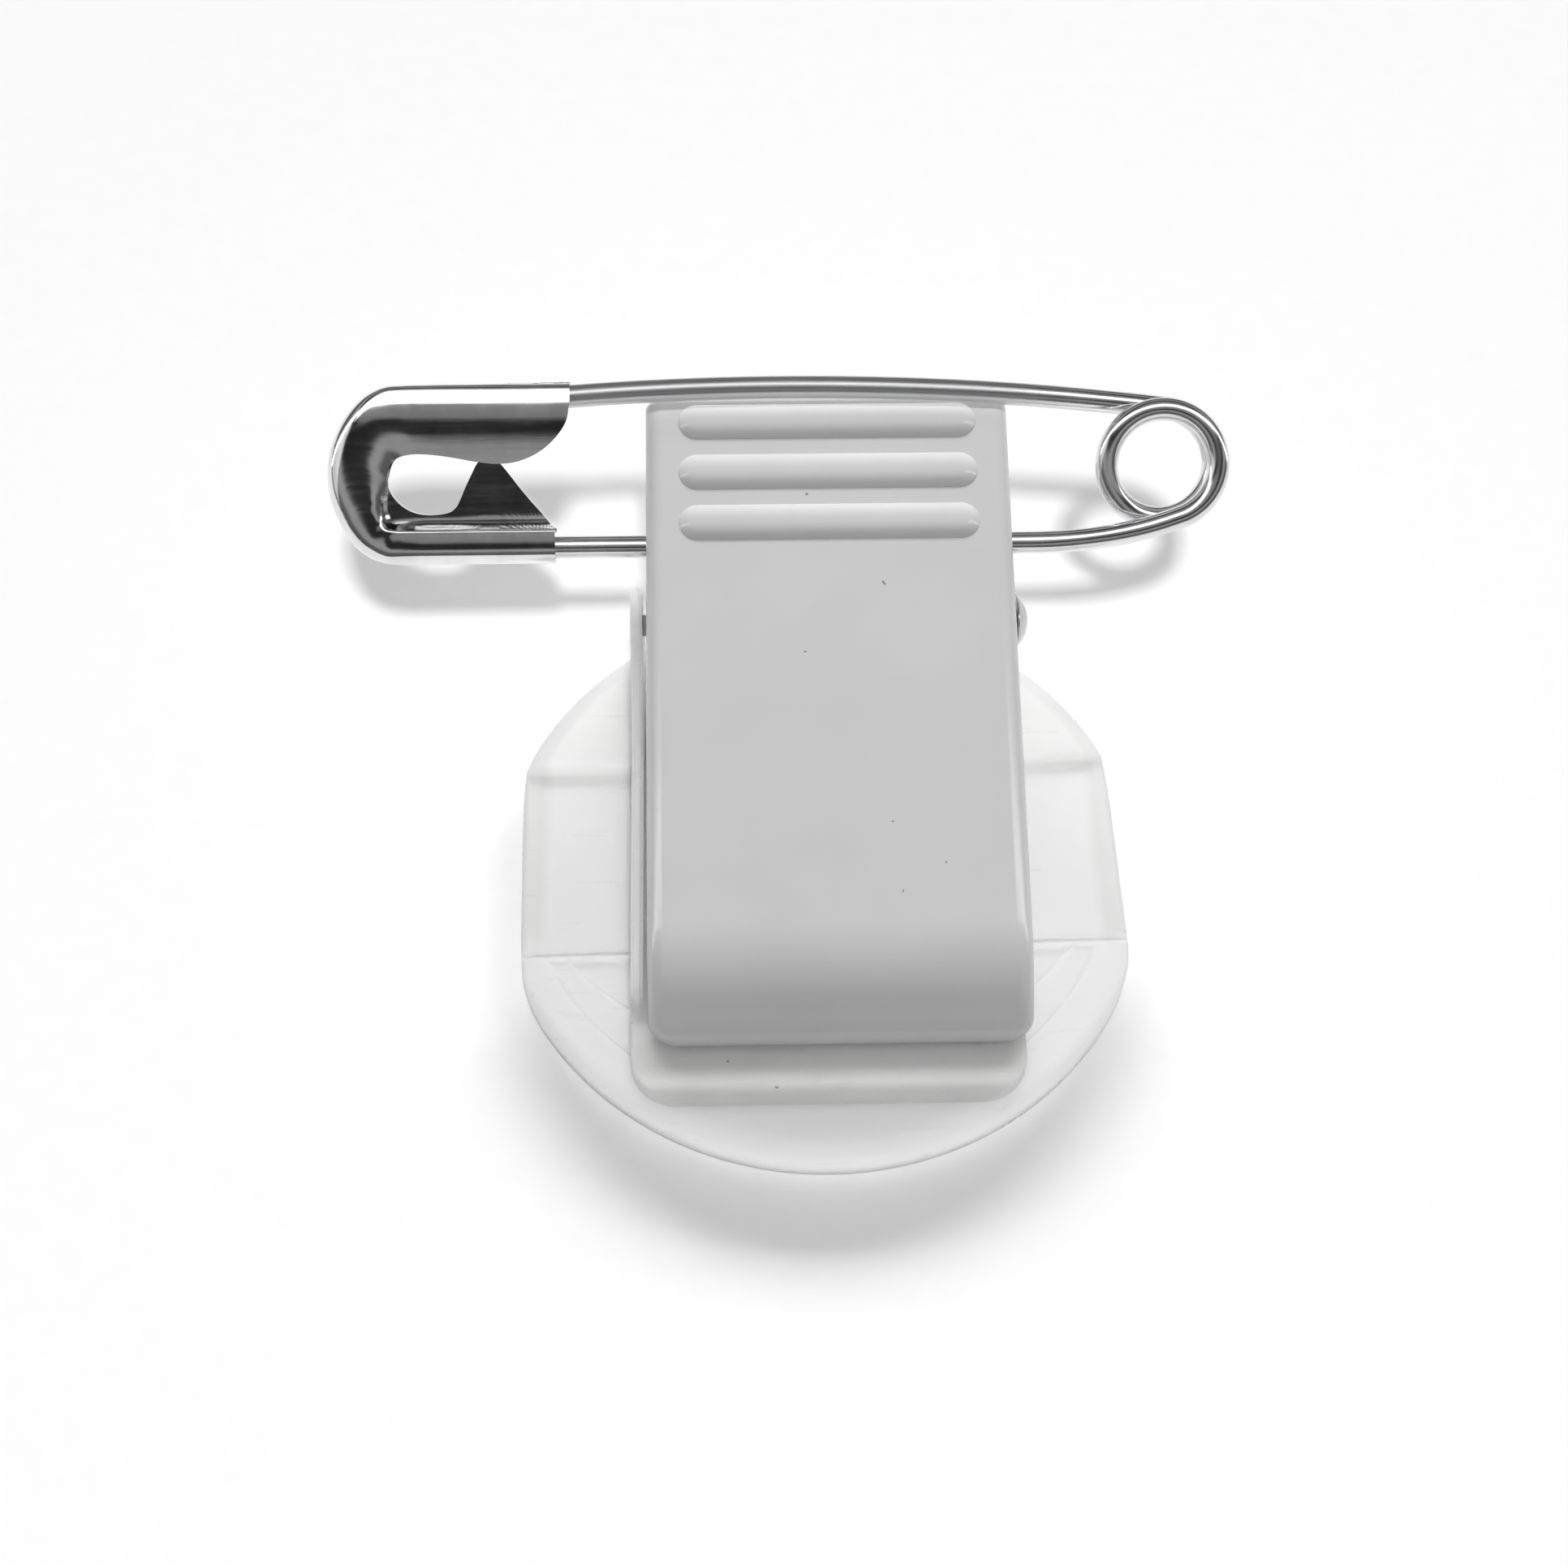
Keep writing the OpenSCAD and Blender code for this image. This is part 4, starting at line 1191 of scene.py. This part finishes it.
def build_pieces():
    # The disc's colour takes painted shade along its side and rear rims and on its rear field.
    milky_disc = milky_plastic("milky_disc", (0.91, 0.91, 0.905), (0.97, 0.97, 0.965), 1.6 * MM, painted_rim_shade)
    # The jaw's plastic is coloured darker than the disc's as painted shade of the lever's nose on its floor
    # and lip; its walls get painted light.
    milky_jaw_painted_shade = milky_plastic("milky_jaw_painted_shade", (0.68, 0.68, 0.675), (0.74, 0.74, 0.735), 2.2 * MM, painted_wall_light)
    grey = grey_plastic()
    nickel_wire = bright_metal("nickel_wire", (0.80, 0.80, 0.81), 0.13, drawn=True, dull_from=NEEDLE_FROM)
    nickel_sheet = bright_metal("nickel_sheet", (0.82, 0.82, 0.83), 0.09)
    spring_steel = bright_metal("spring_steel", (0.5, 0.5, 0.52), 0.25, drawn=True)
    rivet_steel = bright_metal("rivet_steel", (0.58, 0.58, 0.59), 0.16)

    seat(moulded_disc(), milky_disc, "base", "base_plate")
    seat(jaw_moulding(), milky_jaw_painted_shade, "clip", "back_jaw")
    seat(lever_moulding(grip_ribs(grey)), grey, "thumb_lever", "lever")
    seat(axle_rivet(), rivet_steel, "clip", "axle_rivet")
    wire = wire_tree()
    spring_blend(bend_wire("torsion_spring", spring_rows(), wire, spring_steel, 18))
    pin = bend_wire("pin_wire_bent", pin_rows(), wire, nickel_wire, 32)
    seat(pin, nickel_wire, "pin", "pin_wire")
    seat(pin_cap(), nickel_sheet, "pin", "pin_head")


def spring_blend(spring):
    """Bakes the spring's place into its mesh and hides the model's clip_spring node."""
    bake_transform(spring)
    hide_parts("clip_spring")


# Floor, light and camera

def camera_axes():
    """The camera's right, up and backward directions."""
    a, e, roll = CAMERA_AZIMUTH, CAMERA_ELEVATION, CAMERA_ROLL
    back = Vector((math.sin(a) * math.cos(e), -math.cos(a) * math.cos(e), math.sin(e)))
    right = Vector((math.cos(a), math.sin(a), 0.0))
    up = back.cross(right)
    turned = math.cos(roll) * right + math.sin(roll) * up
    return turned, -math.sin(roll) * right + math.cos(roll) * up, back


def add_camera():
    right, up, back = camera_axes()
    data = bpy.data.cameras.new("camera")
    data.sensor_width = CAMERA_SENSOR
    data.lens = CAMERA_LENS
    data.clip_start = 0.002
    data.clip_end = 10.0
    camera = add_object("camera", data)
    turn = Matrix((right, up, back)).transposed().to_4x4()
    place = Vector(CAMERA_TARGET) * MM + back * CAMERA_DISTANCE * MM
    camera.matrix_world = Matrix.Translation(place) @ turn
    bpy.context.scene.camera = camera


def area_light(name, place, target, size, power):
    """A soft light at a place in millimetres, that looks at a target."""
    data = bpy.data.lights.new(name, "AREA")
    data.shape = "RECTANGLE"
    data.size, data.size_y = size[0] * MM, size[1] * MM
    data.energy = power
    light = add_object(name, data)
    aim = (Vector(target) - Vector(place)) * MM
    turn = aim.to_track_quat("-Z", "Y").to_matrix().to_4x4()
    light.matrix_world = Matrix.Translation(Vector(place) * MM) @ turn
    return light


# The room's bands of light: height, from the horizon at 0 to overhead at 1, and level
SKY_BANDS = [(0.0, 0.08), (0.3, 0.12), (0.45, 0.33), (0.585, 0.33), (0.635, 0.02), (0.77, 0.02),
             (0.81, 0.22), (0.93, 0.26), (1.0, 0.34)]


def studio_sky():
    """A plain studio room: pale all round, brighter overhead, with one dark band that chrome shows."""
    world = bpy.data.worlds.new("studio")
    world.use_nodes = True
    bpy.context.scene.world = world
    t = Tree(world.node_tree)
    height = t.split(t.node("ShaderNodeTexCoord").outputs["Generated"])["Z"]
    ramp = t.node("ShaderNodeValToRGB", {"Fac": height})
    stops = ramp.color_ramp.elements
    stops[0].position, stops[1].position = SKY_BANDS[0][0], SKY_BANDS[-1][0]
    for position, _ in SKY_BANDS[1:-1]:
        stops.new(position)
    for stop, (position, level) in zip(stops, SKY_BANDS):
        stop.position = position
        stop.color = (level, level, level, 1.0)
    background = world.node_tree.nodes["Background"]
    t.fill(background, {"Strength": 1.0})
    t.feed(background, {"Color": ramp.outputs["Color"]})
    world.cycles_visibility.diffuse = False


# Lights: place, target, size, power, what takes them, what casts their shadow, and the looks that
# they stay out of. Some are there for chrome alone, and the floor and the disc have their own pair.
LIGHT_COLUMNS = ["name", "place", "target", "size", "power", "takes", "casts", "hidden"]
LIGHTS = [
    ("roof_panel", (0, 5, 250), (0, 5, 5), (460, 106), 0.24, "metal", None, "diffuse"),
    ("left_card", (-250, -20, 110), (-15, 12, 8), (200, 170), 0.06, "metal", None, "diffuse"),
    ("left_strip", (-250, 30, 180), (0, 5, 5), (24, 400), 0.2, "part", None, "diffuse"),
    ("right_strip", (250, 30, 180), (0, 5, 5), (24, 400), 0.2, "part", None, "diffuse"),
    ("low_light", (40, 540, 392), (0, 0, 2), (700, 110), 6.0, "clip", "plastic", "glossy"),
    ("drop_light", (24, -205, 564), (0, 0, 2), (60, 60), 1.5, "upper", None, "glossy"),
    ("jaw_drop_light", (24, -350, 470), (0, 0, 2), (60, 60), 1.55, "jaw", None, "glossy"),
    ("top_light", (0, 300, 520), (0, 0, 2), (440, 320), 0.43, "part", None, "glossy"),
    ("disc_low_light", (40, 600, 280), (0, 0, 2), (700, 110), 4.3, "disc", "plastic", "glossy"),
    ("disc_drop_light", (24, -400, 430), (0, 0, 2), (60, 60), 2.45, "disc", None, "glossy"),
    ("floor_low_light", (150, 2318, 621), (0, 0, 0), (2500, 330), 137.0, "floor", "disc", "glossy"),
    ("floor_drop_light", (24, -195, 568), (0, 0, 2), (60, 60), 2.15, "floor", None, "glossy"),
]
METAL = ["pin_wire_bent", "pin_cap_folded", "axle_rivet_turned"]
UPPER = ["lever_moulding", "torsion_spring"] + METAL
LIGHT_GROUPS = {
    "metal": METAL,
    "plastic": ["moulded_disc", "jaw_moulding", "lever_moulding"],
    "disc": ["moulded_disc"],
    "jaw": ["jaw_moulding"],
    "upper": UPPER,
    "clip": ["jaw_moulding"] + UPPER,
    "part": ["moulded_disc", "jaw_moulding"] + UPPER,
    "floor": ["floor"],
}


def add_stage():
    corners = [(x * FLOOR_HALF, y * FLOOR_HALF, FLOOR_Z) for x, y in ((-1, -1), (1, -1), (1, 1), (-1, 1))]
    floor = mesh_piece("floor", corners, [(0, 1, 2, 3)])
    paint(floor, paper_floor())
    groups = {name: gather(name, pieces) for name, pieces in LIGHT_GROUPS.items()}
    for row in LIGHTS:
        spec = dict(zip(LIGHT_COLUMNS, row))
        light = area_light(spec["name"], spec["place"], spec["target"], spec["size"], spec["power"])
        light.light_linking.receiver_collection = groups[spec["takes"]]
        if spec["casts"]:
            light.light_linking.blocker_collection = groups[spec["casts"]]
        setattr(light, "visible_" + spec["hidden"], False)


def gather(name, pieces):
    """A collection of pieces by name, for a light that only some pieces take or block."""
    group = bpy.data.collections.new("light_group_" + name)
    for piece in pieces:
        group.objects.link(bpy.data.objects[piece])
    return group


build_pieces()
studio_sky()
add_stage()
add_camera()
bpy.context.scene.view_settings.view_transform = "Standard"
